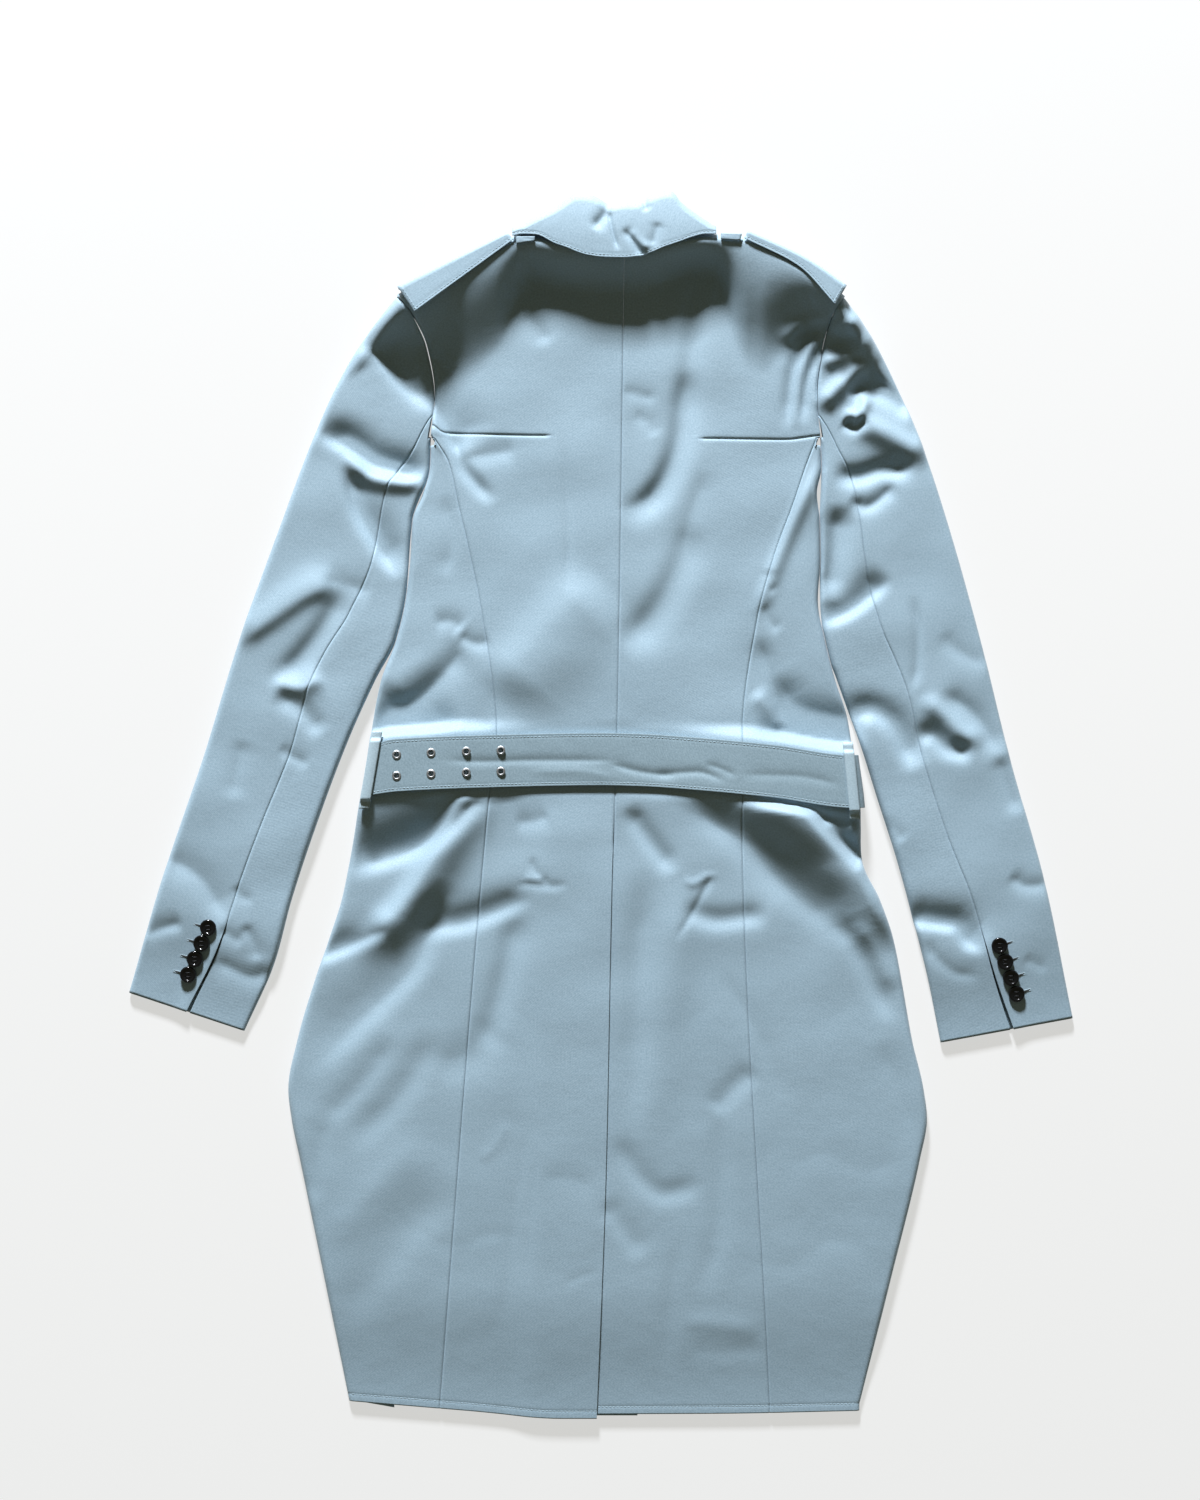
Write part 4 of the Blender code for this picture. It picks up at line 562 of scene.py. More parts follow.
# The skirt lies calmer towards its hem: y, share of the folds' height
SKIRT_CALM = ((-530, 0.3), (-240, 0.42), (-130, 0.8), (-60, 1.0), (500, 1.0))

# A slow unevenness of all the cloth: height, length of the wave, way it runs in degrees, its start
SWAY = (
    (0.30, 92.0, 78.0, 0.4), (0.24, 71.0, 124.0, 2.1), (0.20, 83.0, 31.0, 4.4), (0.18, 59.0, 98.0, 1.2),
    (0.14, 67.0, 152.0, 5.3),
)


# Small tools

def ease(share):
    """Smooth step from 0 to 1."""
    share = np.clip(share, 0.0, 1.0)
    return share * share * (3.0 - 2.0 * share)


def curve(table, column=1):
    """Smooth curve through a table's rows, with no overshoot between them."""
    rows = np.array(sorted((row[0], row[column]) for row in table), dtype=float)
    place, value = rows[:, 0], rows[:, 1]
    gap = np.diff(place)
    slope = np.diff(value) / gap
    product = slope[:-1] * slope[1:]
    total = slope[:-1] + slope[1:]
    safe = np.where(np.abs(total) < 1e-9, 1.0, total)
    tangent = np.concatenate([slope[:1], np.where(product > 0, 2.0 * product / safe, 0.0), slope[-1:]])

    def at(query):
        query = np.clip(query, place[0], place[-1])
        span = np.clip(np.searchsorted(place, query) - 1, 0, len(gap) - 1)
        t = (query - place[span]) / gap[span]
        start = value[span] * (1 + 2 * t) + gap[span] * tangent[span] * t
        end = value[span + 1] * (3 - 2 * t) + gap[span] * tangent[span + 1] * (t - 1)
        return start * (1 - t) ** 2 + end * t * t

    return at


def path_curve(points):
    """Smooth plan curve through points, by its share of the length."""
    points = np.array(points, dtype=float)
    length = np.concatenate([[0.0], np.cumsum(np.linalg.norm(np.diff(points, axis=0), axis=1))])
    share = length / length[-1]
    x_at = curve(np.column_stack([share, points[:, 0]]))
    y_at = curve(np.column_stack([share, points[:, 1]]))
    return lambda query: np.stack([x_at(query), y_at(query)], axis=-1)


def by_side(table):
    """One curve for each side, from a table of place, left value, right value."""
    return {side: curve(table, column) for side, (column, _) in SIDES.items()}


edge_x = by_side(SIDE_EDGE)
armhole_x = by_side(ARMHOLE)
side_back_x = by_side(SIDE_BACK_SEAM)
sleeve_seam_share = by_side(SLEEVE_SEAM)
centre_x = curve(CENTRE_SEAM)
shoulder_y = curve(SHOULDER_LINE)
hem_y = {"left": curve(LEFT_HEM), "right": curve(RIGHT_HEM)}
slash_y = {side: curve(table) for side, table in YOKE_SLASH.items()}
shoulder_start, shoulder_end = curve(SHOULDER_FALL, 1), curve(SHOULDER_FALL, 2)
waist_height = curve(WAIST_RISE)
waist_above, waist_below = curve(WAIST_FALL, 1), curve(WAIST_FALL, 2)
skirt_calm = curve(SKIRT_CALM)
inset = curve(SIDE_SEAM_INSET)
belt_y = curve(BELT_LINE)
ARMPIT_Y = ARMHOLE[-1][0]


# Height of the cloth

def run_distance(x, y, path):
    """Signed distance from a fold's run, and how far along it the nearest point lies."""
    steps = np.diff(path, axis=0)
    lengths = np.linalg.norm(steps, axis=1)
    best = np.full(np.shape(x), np.inf)
    signed = np.zeros(np.shape(x))
    along = np.zeros(np.shape(x))
    done = 0.0
    for start, step, length in zip(path[:-1], steps, lengths):
        ahead = ((x - start[0]) * step[0] + (y - start[1]) * step[1]) / length ** 2
        near = np.clip(ahead, 0.0, 1.0)
        across_x = x - start[0] - near * step[0]
        across_y = y - start[1] - near * step[1]
        distance = np.hypot(across_x, across_y)
        closer = distance < best
        side = np.sign(step[0] * across_y - step[1] * across_x)
        best = np.where(closer, distance, best)
        signed = np.where(closer, side * distance, signed)
        along = np.where(closer, (done + near * length) / lengths.sum(), along)
        done += length
    return signed, along


def relief(x, y, rows, sharpness):
    """Ridges and troughs at points of the cloth, each fading at both its ends."""
    total = np.zeros(np.shape(x))
    for height, left_width, right_width, points in rows:
        path = path_curve(points)(np.linspace(0.0, 1.0, FOLD_POINTS * len(points)))
        reach = FOLD_REACH * max(left_width, right_width)
        low, high = path.min(axis=0) - reach, path.max(axis=0) + reach
        near = (x > low[0]) & (x < high[0]) & (y > low[1]) & (y < high[1])
        if not near.any():
            continue
        distance, along = run_distance(x[near], y[near], path)
        width = np.where(distance > 0, left_width, right_width)
        fade = ease(along / FOLD_FADE) * ease((1.0 - along) / FOLD_FADE)
        total[near] += height * np.exp(-np.abs(distance / width) ** sharpness) * fade
    return total


def shoulder_rise(x, y):
    """The laid coat is thick at the shoulders and neck, and falls away down the back."""
    start, end = shoulder_start(x), shoulder_end(x)
    return SHOULDER_RISE * (1.0 - ease((shoulder_y(x) - y - start) / (end - start)))


def waist_rise(x, y):
    """The cloth that the belt gathers, on the body alone."""
    past = y - belt_y(x)
    fall = np.where(past > 0, waist_above(x), waist_below(x))
    return waist_height(x) * (1.0 - ease((np.abs(past) - 0.5 * BELT_WIDTH - WAIST_MARGIN) / fall))


def sway(x, y):
    """The slow unevenness of cloth that was laid by hand."""
    total = np.zeros(np.shape(x))
    for height, length, way, start in SWAY:
        along = x * np.cos(np.radians(way)) + y * np.sin(np.radians(way))
        total = total + height * np.sin(2.0 * np.pi * along / length + start)
    return total


def lift(x, y, spread=1.0, creased=True, belted=True):
    """Height of the upper layer's outer face. Spread fades to 0 at a hem or a cuff."""
    x, y = np.broadcast_arrays(np.asarray(x, dtype=float), np.asarray(y, dtype=float))
    rest = OPEN_EDGE_HEIGHT + (REST_HEIGHT - OPEN_EDGE_HEIGHT) * spread + shoulder_rise(x, y)
    folds = relief(x, y, FOLDS, FOLD_SHARPNESS)
    if creased:
        folds = folds + relief(x, y, CREASES, CREASE_SHARPNESS) + sway(x, y)
    if belted:
        beyond_belt = np.abs(y - belt_y(x)) - 0.5 * BELT_WIDTH - BELT_MARGIN
        rest = rest + waist_rise(x, y)
        folds = folds * ease(beyond_belt / BELT_PRESS) * skirt_calm(y)
    free = rest + folds * spread
    lowest = OPEN_EDGE_HEIGHT + (LOWEST_BACK - OPEN_EDGE_HEIGHT) * spread
    above = free - lowest
    return lowest + 0.5 * (above + np.sqrt(above ** 2 + LOWEST_SOFTNESS)) - LOWEST_DROP


def smooth_lift(x, y):
    """The same without the finer creases, for what is laid over the cloth."""
    return lift(x, y, creased=False)


def body_lift(side):
    """Height of the upper layer of one side of the body, flat towards its hem."""
    def height(x, y):
        return lift(x, y, ease((y - hem_y[side](x)) / EDGE_EASE))
    return height


def floor_height(x, y):
    """Height of the lower layer's outer face: it rises over the belt and the collar's ends."""
    beyond_belt = np.abs(y - BELT_UNDER_Y) - 0.5 * BELT_WIDTH - BELT_ROOM_MARGIN
    belt_share = 1.0 - ease(beyond_belt / BELT_ROOM_SLOPE)
    along_slope, side_slope = COLLAR_ROOM_SLOPES
    beyond_collar = np.abs(x - COLLAR_ROOM_MIDDLE) - COLLAR_ROOM_HALF
    collar_share = ease((y - COLLAR_ROOM_START) / along_slope) * (1.0 - ease(beyond_collar / side_slope))
    return np.maximum(BELT_ROOM * belt_share, COLLAR_ROOM * collar_share)


def left_raise(x, y):
    """The left back lies over the vent's underlap."""
    side_start, side_run = VENT_SIDE_APPROACH
    top_start, top_run = VENT_TOP_APPROACH
    near_seam = 1.0 - ease((centre_x(y) - x - UNDERLAP - side_start) / side_run)
    return VENT_RAISE * near_seam * (1.0 - ease((y - VENT_TOP - top_start) / top_run))


def front_left_floor(x, y):
    """The left front lies over the right one where they lap."""
    start, distance = LAP_APPROACH
    return floor_height(x, y) + LAP_RAISE * ease((x - centre_x(y) + FRONT_LAP + start) / distance)


def groove(distance, depth, half):
    """Depth of a seam or a row of stitches at a distance from its line."""
    return depth * np.exp(-(distance / half) ** 2)


# Runs of points that make up the sheets

def even_steps(length, near_start=True, near_end=True, step=CLOTH_STEP):
    """Shares of a length in steps of the cloth's grid, closer beside a seam at either end."""
    margin = SEAM_MARGIN / length
    first = margin[:-1] if near_start else np.array([])
    last = 1.0 - margin[-2::-1] if near_end else np.array([])
    start = margin[-1] if near_start else 0.0
    end = 1.0 - margin[-1] if near_end else 1.0
    count = max(3, int(round((end - start) * length / step)) + 1)
    return np.concatenate([first, np.linspace(start, end, count), last])


def flat_run(plan, shares, height):
    """Points at shares of each row's width, on a height field."""
    points = plan(shares)
    return np.dstack([points, height(points[..., 0], points[..., 1])])


def fold_run(edge, inward, radius, top, bottom, steps=TURN_STEPS):
    """Points round a folded edge, from the upper layer to the lower one."""
    angles = np.radians(np.linspace(90.0, -90.0, steps + 1))[None, :]
    reach = radius[:, None] * (1.0 - np.cos(angles))
    plan = edge[:, None, :] + inward[:, None, :] * reach[..., None]
    middle = 0.5 * (top + bottom)[:, None]
    half = 0.5 * (top - bottom)[:, None]
    return np.dstack([plan, middle + half * np.sin(angles)])


def unit(vectors):
    """Vectors at length 1."""
    return vectors / np.linalg.norm(vectors, axis=-1, keepdims=True)


def between(start, end):
    """Plan function of straight rows from one line of points to another."""
    def plan(shares):
        shares = np.broadcast_to(shares, (len(start), np.shape(shares)[-1]))[..., None]
        return start[:, None, :] * (1.0 - shares) + end[:, None, :] * shares
    return plan


def folded_sheet(plan, first_share, under_plan, last_share, height, under_height, steps, rounding=1.0):
    """Upper layer from a seam to a folded edge, round it, and back underneath to another seam."""
    top_steps, under_steps = steps
    edge = plan(np.array([1.0]))[:, 0]
    along_row = unit(plan(np.array([ROW_FEEL]))[:, 0] - edge)
    tangent = unit(np.gradient(edge, axis=0))
    square = np.column_stack([-tangent[:, 1], tangent[:, 0]])
    square = square * np.sign(np.sum(square[-1] * along_row[-1]))
    facing = np.sum(square * along_row, axis=1) * SLANT_SHARE - SLANT_LOSS
    facing = np.clip(facing, 0.0, 1.0)[:, None]
    inward = unit(along_row * facing + square * (1.0 - facing))
    level = height(edge[:, 0], edge[:, 1])
    radius = np.clip(FOLD_ROUND * level, *FOLD_RADIUS) * rounding
    turn = edge + inward * radius[:, None]
    upper = run_to(plan, first_share, turn, edge, top_steps, height)
    bottom = under_height(turn[:, 0], turn[:, 1])
    folded = fold_run(edge, inward, radius, upper[:, -1, 2], bottom)
    under = run_to(under_plan, last_share, turn, edge, under_steps, under_height)
    return np.concatenate([upper, folded[:, 1:-1], under[:, ::-1]], axis=1)


def run_to(plan, seam_share, turn, edge, steps, height):
    """Points from a seam to the line where a folded edge begins to turn."""
    seam = plan(seam_share[:, None])[:, 0]
    reach = np.linalg.norm(turn - edge, axis=1) / np.linalg.norm(seam - edge, axis=1)
    last_share = seam_share + (edge_share(plan, edge) - seam_share) * (1.0 - reach)
    shares = seam_share[:, None] * (1.0 - steps) + last_share[:, None] * steps
    points = plan(shares)
    points = points + (turn - points[:, -1])[:, None, :] * steps[None, :, None]
    return np.dstack([points, height(points[..., 0], points[..., 1])])


def edge_share(plan, edge):
    """Share at which a plan function's rows reach the folded edge, 0 or 1."""
    start, end = plan(np.array([0.0]))[:, 0], plan(np.array([1.0]))[:, 0]
    at_end = np.linalg.norm(end - edge, axis=1).sum() < np.linalg.norm(start - edge, axis=1).sum()
    return 1.0 if at_end else 0.0


def distance_from(grid, border):
    """Distance of each point of a grid from its first or last row or column, along its own lines."""
    axis, last = {"first_row": (0, False), "last_row": (0, True),
                  "first_column": (1, False), "last_column": (1, True)}[border]
    line = np.flip(grid, axis) if last else grid
    steps = np.linalg.norm(np.diff(line, axis=axis), axis=-1)
    start = np.zeros_like(steps[:1] if axis == 0 else steps[:, :1])
    distance = np.concatenate([start, np.cumsum(steps, axis=axis)], axis=axis)
    return np.flip(distance, axis) if last else distance


# Finishes

# Spacing and depth of the twill lines, the single yarns and the cloth's faint rumple, and the
# spacing of its slight changes of shade
TWILL_SPACING, TWILL_DEPTH = 1.3, 0.03
YARN_SPACING, YARN_DEPTH = 1.6, 0.045
RUMPLE_SPACING, RUMPLE_DEPTH = 26.0, 0.5
SHADE_SPACING = 110.0
# Length of one line of the wave texture at scale 1
WAVE_LINE = 0.314


def linear(hex_colour):
    """An sRGB hex colour as linear red, green, blue and alpha."""
    channels = [int(hex_colour[i:i + 2], 16) / 255.0 for i in (0, 2, 4)]
    return (*[c / 12.92 if c <= 0.04045 else ((c + 0.055) / 1.055) ** 2.4 for c in channels], 1.0)


def add_node(tree, kind, values=(), links=(), **settings):
    """Node of a kind, with its other settings, its socket values and its incoming links."""
    node = tree.nodes.new(kind)
    for name, value in settings.items():
        setattr(node, name, value)
    for socket, value in dict(values).items():
        node.inputs[socket].default_value = value
    for socket, (source, output) in dict(links).items():
        tree.links.new(source.outputs[output], node.inputs[socket])
    return node


def new_finish(name, colour, roughness, metallic=0.0, **sockets):
    """Material with its Principled shader, and the shader's own uniform values."""
    made = bpy.data.materials.new(name)
    made.use_nodes = True
    shader = made.node_tree.nodes["Principled BSDF"]
    shader.inputs["Base Color"].default_value = linear(colour)
    shader.inputs["Roughness"].default_value = roughness
    shader.inputs["Metallic"].default_value = metallic
    for socket, value in sockets.items():
        shader.inputs[socket.replace("_", " ")].default_value = value
    return made, made.node_tree, shader


def woven_cotton(name, light, dark):
    """Cotton gabardine: a fine steep twill of mercerised yarn, so it has a soft satin light.

    The real twill lines lie 0.4 mm apart and are too fine to show, so they are drawn coarser.
    """
    made, tree, shader = new_finish(name, light, 0.62, Specular_IOR_Level=0.35, Sheen_Weight=0.15,
                                    Sheen_Roughness=0.5)
    weave = add_node(tree, "ShaderNodeUVMap", uv_map="weave")
    steep = add_node(tree, "ShaderNodeMapping", {"Rotation": (0.0, 0.0, np.radians(63.0))},
                     {"Vector": (weave, "UV")})
    twill = add_node(tree, "ShaderNodeTexWave",
                     {"Scale": WAVE_LINE / (TWILL_SPACING * MM), "Distortion": 0.6, "Detail": 1.0,
                      "Detail Scale": 0.4},
                     {"Vector": (steep, "Vector")}, wave_profile="SIN")
    yarn, rumple, patch = (
        add_node(tree, "ShaderNodeTexNoise", {"Scale": 1.0 / (spacing * MM), "Detail": detail},
                 {"Vector": (weave, "UV")})
        for spacing, detail in ((YARN_SPACING, 2.0), (RUMPLE_SPACING, 3.0), (SHADE_SPACING, 3.0)))
    shade = add_node(tree, "ShaderNodeMix", {"A": linear(dark), "B": linear(light)},
                     {"Factor": (patch, "Fac")}, data_type="RGBA")
    flecks = add_node(tree, "ShaderNodeMix", {"Factor": 0.5}, {"A": (shade, "Result"), "B": (yarn, "Fac")},
                      data_type="RGBA", blend_type="SOFT_LIGHT")
    tree.links.new(flecks.outputs["Result"], shader.inputs["Base Color"])
    threads = add_node(tree, "ShaderNodeBump", {"Strength": 1.0, "Distance": TWILL_DEPTH * MM},
                       {"Height": (twill, "Fac")})
    grain = add_node(tree, "ShaderNodeBump", {"Strength": 1.0, "Distance": YARN_DEPTH * MM},
                     {"Height": (yarn, "Fac"), "Normal": (threads, "Normal")})
    soft = add_node(tree, "ShaderNodeBump", {"Strength": 1.0, "Distance": RUMPLE_DEPTH * MM},
                    {"Height": (rumple, "Fac"), "Normal": (grain, "Normal")})
    tree.links.new(soft.outputs["Normal"], shader.inputs["Normal"])
    return made


def dull_softly(tree, shader, scale, detail, least, most):
    """Roughness that changes softly over a piece, as handling leaves it."""
    place = add_node(tree, "ShaderNodeTexCoord")
    wear = add_node(tree, "ShaderNodeTexNoise", {"Scale": scale, "Detail": detail},
                    {"Vector": (place, "Object")})
    rough = add_node(tree, "ShaderNodeMapRange", {"To Min": least, "To Max": most}, {"Value": (wear, "Fac")})
    tree.links.new(rough.outputs["Result"], shader.inputs["Roughness"])


def polished_resin():
    """Cast black resin, tumbled to a polish, with a faint clouding from wear."""
    made, tree, shader = new_finish("polished_resin", "0B0C0E", 0.1, IOR=1.54)
    dull_softly(tree, shader, scale=500.0, detail=3.0, least=0.06, most=0.2)
    return made


def plated_nickel(name, colour):
    """Nickel-plated brass, barrelled bright, a little dulled where it is handled."""
    made, tree, shader = new_finish(name, colour, 0.5, metallic=1.0)
    dull_softly(tree, shader, scale=300.0, detail=4.0, least=0.42, most=0.6)
    return made


def spun_thread(name, colour):
    """Sewing thread, two plies of spun polyester, matt with a slight lustre."""
    made, tree, shader = new_finish(name, colour, 0.6)
    place = add_node(tree, "ShaderNodeTexCoord")
    plies = add_node(tree, "ShaderNodeTexNoise", {"Scale": 2500.0}, {"Vector": (place, "Object")})
    twist = add_node(tree, "ShaderNodeBump", {"Strength": 0.4, "Distance": 0.1 * MM},
                     {"Height": (plies, "Fac")})
    tree.links.new(twist.outputs["Normal"], shader.inputs["Normal"])
    return made


def pale_floor():
    """Opal board lit from below: its own glow takes most of the weight out of the shadows on it."""
    made, _, _ = new_finish("pale_floor", "909090", 0.9, Specular_IOR_Level=0.1, Emission_Strength=0.61,
                            Emission_Color=linear("FFFFFD"))
    return made


FINISHES = {
    "gabardine": woven_cotton("gabardine", "9AB1BE", "91A8B5"),
    "belt_gabardine": woven_cotton("belt_gabardine", "8DA3AD", "869BA5"),
    # The loops' cloth is a lighter copy of the gabardine: a painted highlight, as they tilt up towards the
    # window.
    "loop_gabardine": woven_cotton("loop_gabardine", "ABC0C9", "A2B7C1"),
    "button_resin": polished_resin(),
    "eyelet_nickel": plated_nickel("eyelet_nickel", "B9BBBC"),
    "buckle_nickel": plated_nickel("buckle_nickel", "A9ABAC"),
    "thread": spun_thread("thread", "A5B9C2"),
    # Dark thread sews the buttons, and also draws the buttonholes' slits, which are painted shade.
    "dark_thread_and_slit_shade": spun_thread("dark_thread_and_slit_shade", "1B1D20"),
}


# Making pieces

def to_world(points):
    """Points of the tables, in metres in the frame."""
    return (np.asarray(points, dtype=float) + [MIDDLE_X, 0.0, 0.0]) * MM


def dress(piece, slot, *nodes):
    """Give a piece its finish, and let it stand for its solids."""
    piece.data.materials.append(FINISHES[slot])
    piece.data.shade_smooth()
    if slot in ("thread", "dark_thread_and_slit_shade"):
        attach(piece, "root")
        return piece
    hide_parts(*nodes)
    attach(piece, "root")
    return piece


def grid_faces(index, flip):
    """Four-sided faces of a grid of vertex numbers."""
    corners = [index[:-1, :-1], index[:-1, 1:], index[1:, 1:], index[1:, :-1]]
    faces = np.stack(corners, axis=-1).reshape(-1, 4)
    return faces[:, ::-1] if flip else faces


def weave_place(grid):
    """Each point's place on the cloth: across its row, and up from the last row, in metres."""
    across = distance_from(grid, "first_column")
    up = distance_from(grid, "last_row")
    return np.dstack([across, up]) * MM


def cloth(name, grid, wall, slot, flip=False, flap=None):
    """Cloth: a grid of points on its outer face, thickened inwards. A flap grows from column 0."""
    vertices = grid.reshape(-1, 3)
    weave = weave_place(grid).reshape(-1, 2)
    index = np.arange(len(vertices)).reshape(grid.shape[:2])
    faces = grid_faces(index, flip)
    if flap is not None:
        first_row, points = flap
        added = np.arange(points.shape[0] * points.shape[1]).reshape(points.shape[:2]) + len(vertices)
        joined = np.concatenate([grid[first_row:, :1], points], axis=1)
        flap_weave = weave_place(joined)[:, 1:] * [-1.0, 1.0]
        vertices = np.concatenate([vertices, points.reshape(-1, 3)])
        weave = np.concatenate([weave, flap_weave.reshape(-1, 2)])
        faces = np.concatenate([faces, grid_faces(np.column_stack([index[first_row:, 0], added]), not flip)])
    mesh = bpy.data.meshes.new(name)
    mesh.from_pydata(to_world(vertices).tolist(), [], faces.tolist())
    corner = np.zeros(len(mesh.loops), dtype=np.int32)
    mesh.loops.foreach_get("vertex_index", corner)
    mesh.uv_layers.new(name="weave").data.foreach_set("uv", weave[corner].astype(np.float32).ravel())
    made = bpy.data.objects.new(f"{name}_cloth", mesh)
    bpy.context.scene.collection.objects.link(made)
    thick = made.modifiers.new("cloth_wall", "SOLIDIFY")
    thick.thickness = wall * MM
    thick.offset = -1.0
    return dress(made, slot, name)


def stitch_row(line):
    """Ends of the stitches along a line of points: pairs of points on the cloth."""
    steps = np.linalg.norm(np.diff(line, axis=0), axis=1)
    done = np.concatenate([[0.0], np.cumsum(steps)])
    first = 0.5 * (STITCH_PITCH - STITCH_LENGTH)
    starts = np.arange(first, done[-1] - STITCH_LENGTH, STITCH_PITCH)
    places = [np.column_stack([np.interp(at, done, line[:, k]) for k in range(3)])
              for at in (starts, starts + STITCH_LENGTH)]
    return np.stack(places, axis=1)


def sew(name, pairs, radius=THREAD_RADIUS, colour="thread", sunk=THREAD_SUNK):
    """One mesh of short rounded stitches between pairs of points."""
    start, end = pairs[:, 0], pairs[:, 1]
    way = unit(end - start)
    across = unit(np.cross(way, [0.0, 0.0, 1.0]))
    up = np.cross(across, way)
    angle = np.linspace(0.0, 2.0 * np.pi, STITCH_SIDES, endpoint=False)
    points = []
    for share, thick in STITCH_RINGS:
        bow = up * (radius - sunk) * (1.0 - (2.0 * share - 1.0) ** 2)
        middle = start + (end - start) * share + bow
        for a in angle:
            points.append(middle + (across * np.cos(a) + up * np.sin(a)) * radius * thick)
    points = np.stack(points, axis=1)
    ring = np.arange(len(STITCH_RINGS) * STITCH_SIDES).reshape(-1, STITCH_SIDES)
    round_ring = np.column_stack([ring, ring[:, 0]])
    one = grid_faces(round_ring, False).tolist() + [ring[0].tolist(), ring[-1][::-1].tolist()]
    faces = [[corner + number * points.shape[1] for corner in face]
             for number in range(len(points)) for face in one]
    mesh = bpy.data.meshes.new(name)
    mesh.from_pydata(to_world(points.reshape(-1, 3)).tolist(), [], faces)
    made = bpy.data.objects.new(name, mesh)
    bpy.context.scene.collection.objects.link(made)
    return dress(made, colour)


def line_at(grid, border, distance):
    """Line of points on a sheet at a distance from one of its borders."""
    away = distance_from(grid, border)
    if border.endswith("row"):
        away, grid = away.T, np.swapaxes(grid, 0, 1)
    line = []
    for places, points in zip(away, grid):
        order = np.argsort(places)
        line.append([np.interp(distance, places[order], points[order, k]) for k in range(3)])
    return np.array(line)


def mesh_of(piece):
    """Mesh of a piece with its modifiers applied."""
    bpy.context.view_layer.update()
    return bpy.data.meshes.new_from_object(piece.evaluated_get(bpy.context.evaluated_depsgraph_get()))


def cut_away(piece, cutters):
    """Mesh of a piece with the cutters' shapes taken out of it. The cutters are removed."""
    for cutter in cutters:
        cut = piece.modifiers.new("hole", "BOOLEAN")
        cut.operation = "DIFFERENCE"
        cut.object = cutter
    mesh = mesh_of(piece)
    for cutter in cutters:
        bpy.data.objects.remove(cutter, do_unlink=True)
    return mesh


def round_cutter(name, middles, radius, length, sides):
    """Round pins at places in metres, as one object to cut holes with."""
    tool = bmesh.new()
    for middle in middles:
        bmesh.ops.create_cone(tool, cap_ends=True, segments=sides, depth=length * MM, radius1=radius * MM,
                              radius2=radius * MM, matrix=Matrix.Translation(middle))
    mesh = bpy.data.meshes.new(name)
    tool.to_mesh(mesh)
    tool.free()
    made = bpy.data.objects.new(name, mesh)
    bpy.context.scene.collection.objects.link(made)
    return made


def keep_on_surface(piece):
    """Fix a piece's wall in its mesh, with nothing below the surface it lies on."""
    mesh = mesh_of(piece)
    for vertex in mesh.vertices:
        vertex.co.z = max(vertex.co.z, 0.0)
    piece.modifiers.clear()
    piece.data = mesh


# Body panels

def round_down(x, y, height, upper):
    """Meet the other layer halfway at the shoulder line, on a quarter of an ellipse."""
    slope = (shoulder_y(x + 1.0) - shoulder_y(x - 1.0)) / 2.0
    depth = (shoulder_y(x) - y) / np.sqrt(1.0 + slope ** 2)
    short = 1.0 - np.clip(depth / SHOULDER_ROUND, 0.0, 1.0)
    quarter = np.sqrt(1.0 - short ** 2)
    return height * (0.5 + 0.5 * quarter) if upper else height * (0.5 - 0.5 * quarter)


def back_outer_x(side, y):
    """Outer boundary of a back panel: its armhole, then the side-back seam."""
    _, way = SIDES[side]
    boundary = np.where(y > ARMPIT_Y, armhole_x[side](y), side_back_x[side](y))
    return boundary - way * SEAM_GAP / 2


def panel_rows(top, slash, hem, step=CLOTH_STEP):
    """Heights of a column's points: closer round the shoulder, at the yoke slash and above the hem."""
    angles = np.radians(np.linspace(0.0, 90.0, TURN_STEPS + 1))
    turn = SHOULDER_ROUND * SHOULDER_REACH * (1.0 - np.cos(angles))
    yoke = np.linspace(top - turn[-1], slash + SLASH_MARGIN[0], int(YOKE_LENGTH / step))[1:-1]
    skirt = np.linspace(slash + SLASH_MARGIN[-1], hem + HEM_MARGIN[0], int(SKIRT_LENGTH / step))[1:-1]
    return np.concatenate([top - turn, yoke, slash + SLASH_MARGIN, skirt, hem + HEM_MARGIN])


def panel_steps(panel):
    """Shares of a panel's columns from its seam to its fold, and of those underneath."""
    return even_steps(COLUMN_WIDTH[panel], near_end=False), np.linspace(0.0, 1.0, UNDER_COLUMNS[panel])


def sink_back(side, x, y, z, seam):
    """Height of a back panel where its seams, its slash and its hem's stitches sink in."""
    _, way = SIDES[side]
    beside_outer = np.abs(x - back_outer_x(side, y))
    sewn_centre = ease((y - VENT_TOP) / VENT_OPENING)
    at_armhole = ease((y - ARMPIT_Y) / ARMPIT_RUN)
    z = z - groove(np.abs(x - seam), SEAM_DEPTH, SEAM_HALF) * sewn_centre
    z = z - groove(beside_outer, SEAM_DEPTH, SEAM_HALF) * (1.0 - at_armhole)
    z = z - groove(beside_outer, ARMHOLE_DEPTH, ARMHOLE_HALF) * at_armhole
    slash_fade = ease(way * (x - SLASH_END[side]) / SLASH_FADE)
    z = z - groove(y - slash_y[side](x), SLASH_DEPTH, SLASH_HALF) * slash_fade
    return z - groove(y - y[-1] - HEM_STITCH, STITCH_DEPTH, STITCH_HALF)


def underlap(y):
    """The vent's underlap on the right back: its first row, and its points."""
    first_row = int(np.argmax(y[:, 0] <= VENT_TOP))
    flap_x = centre_x(y[first_row:, :1]) - np.linspace(UNDERLAP_START, UNDERLAP, UNDERLAP_COLUMNS)
    flap_y = np.repeat(y[first_row:, :1], flap_x.shape[1], axis=1)
    return first_row, np.dstack([flap_x, flap_y, body_lift("right")(flap_x, flap_y)])


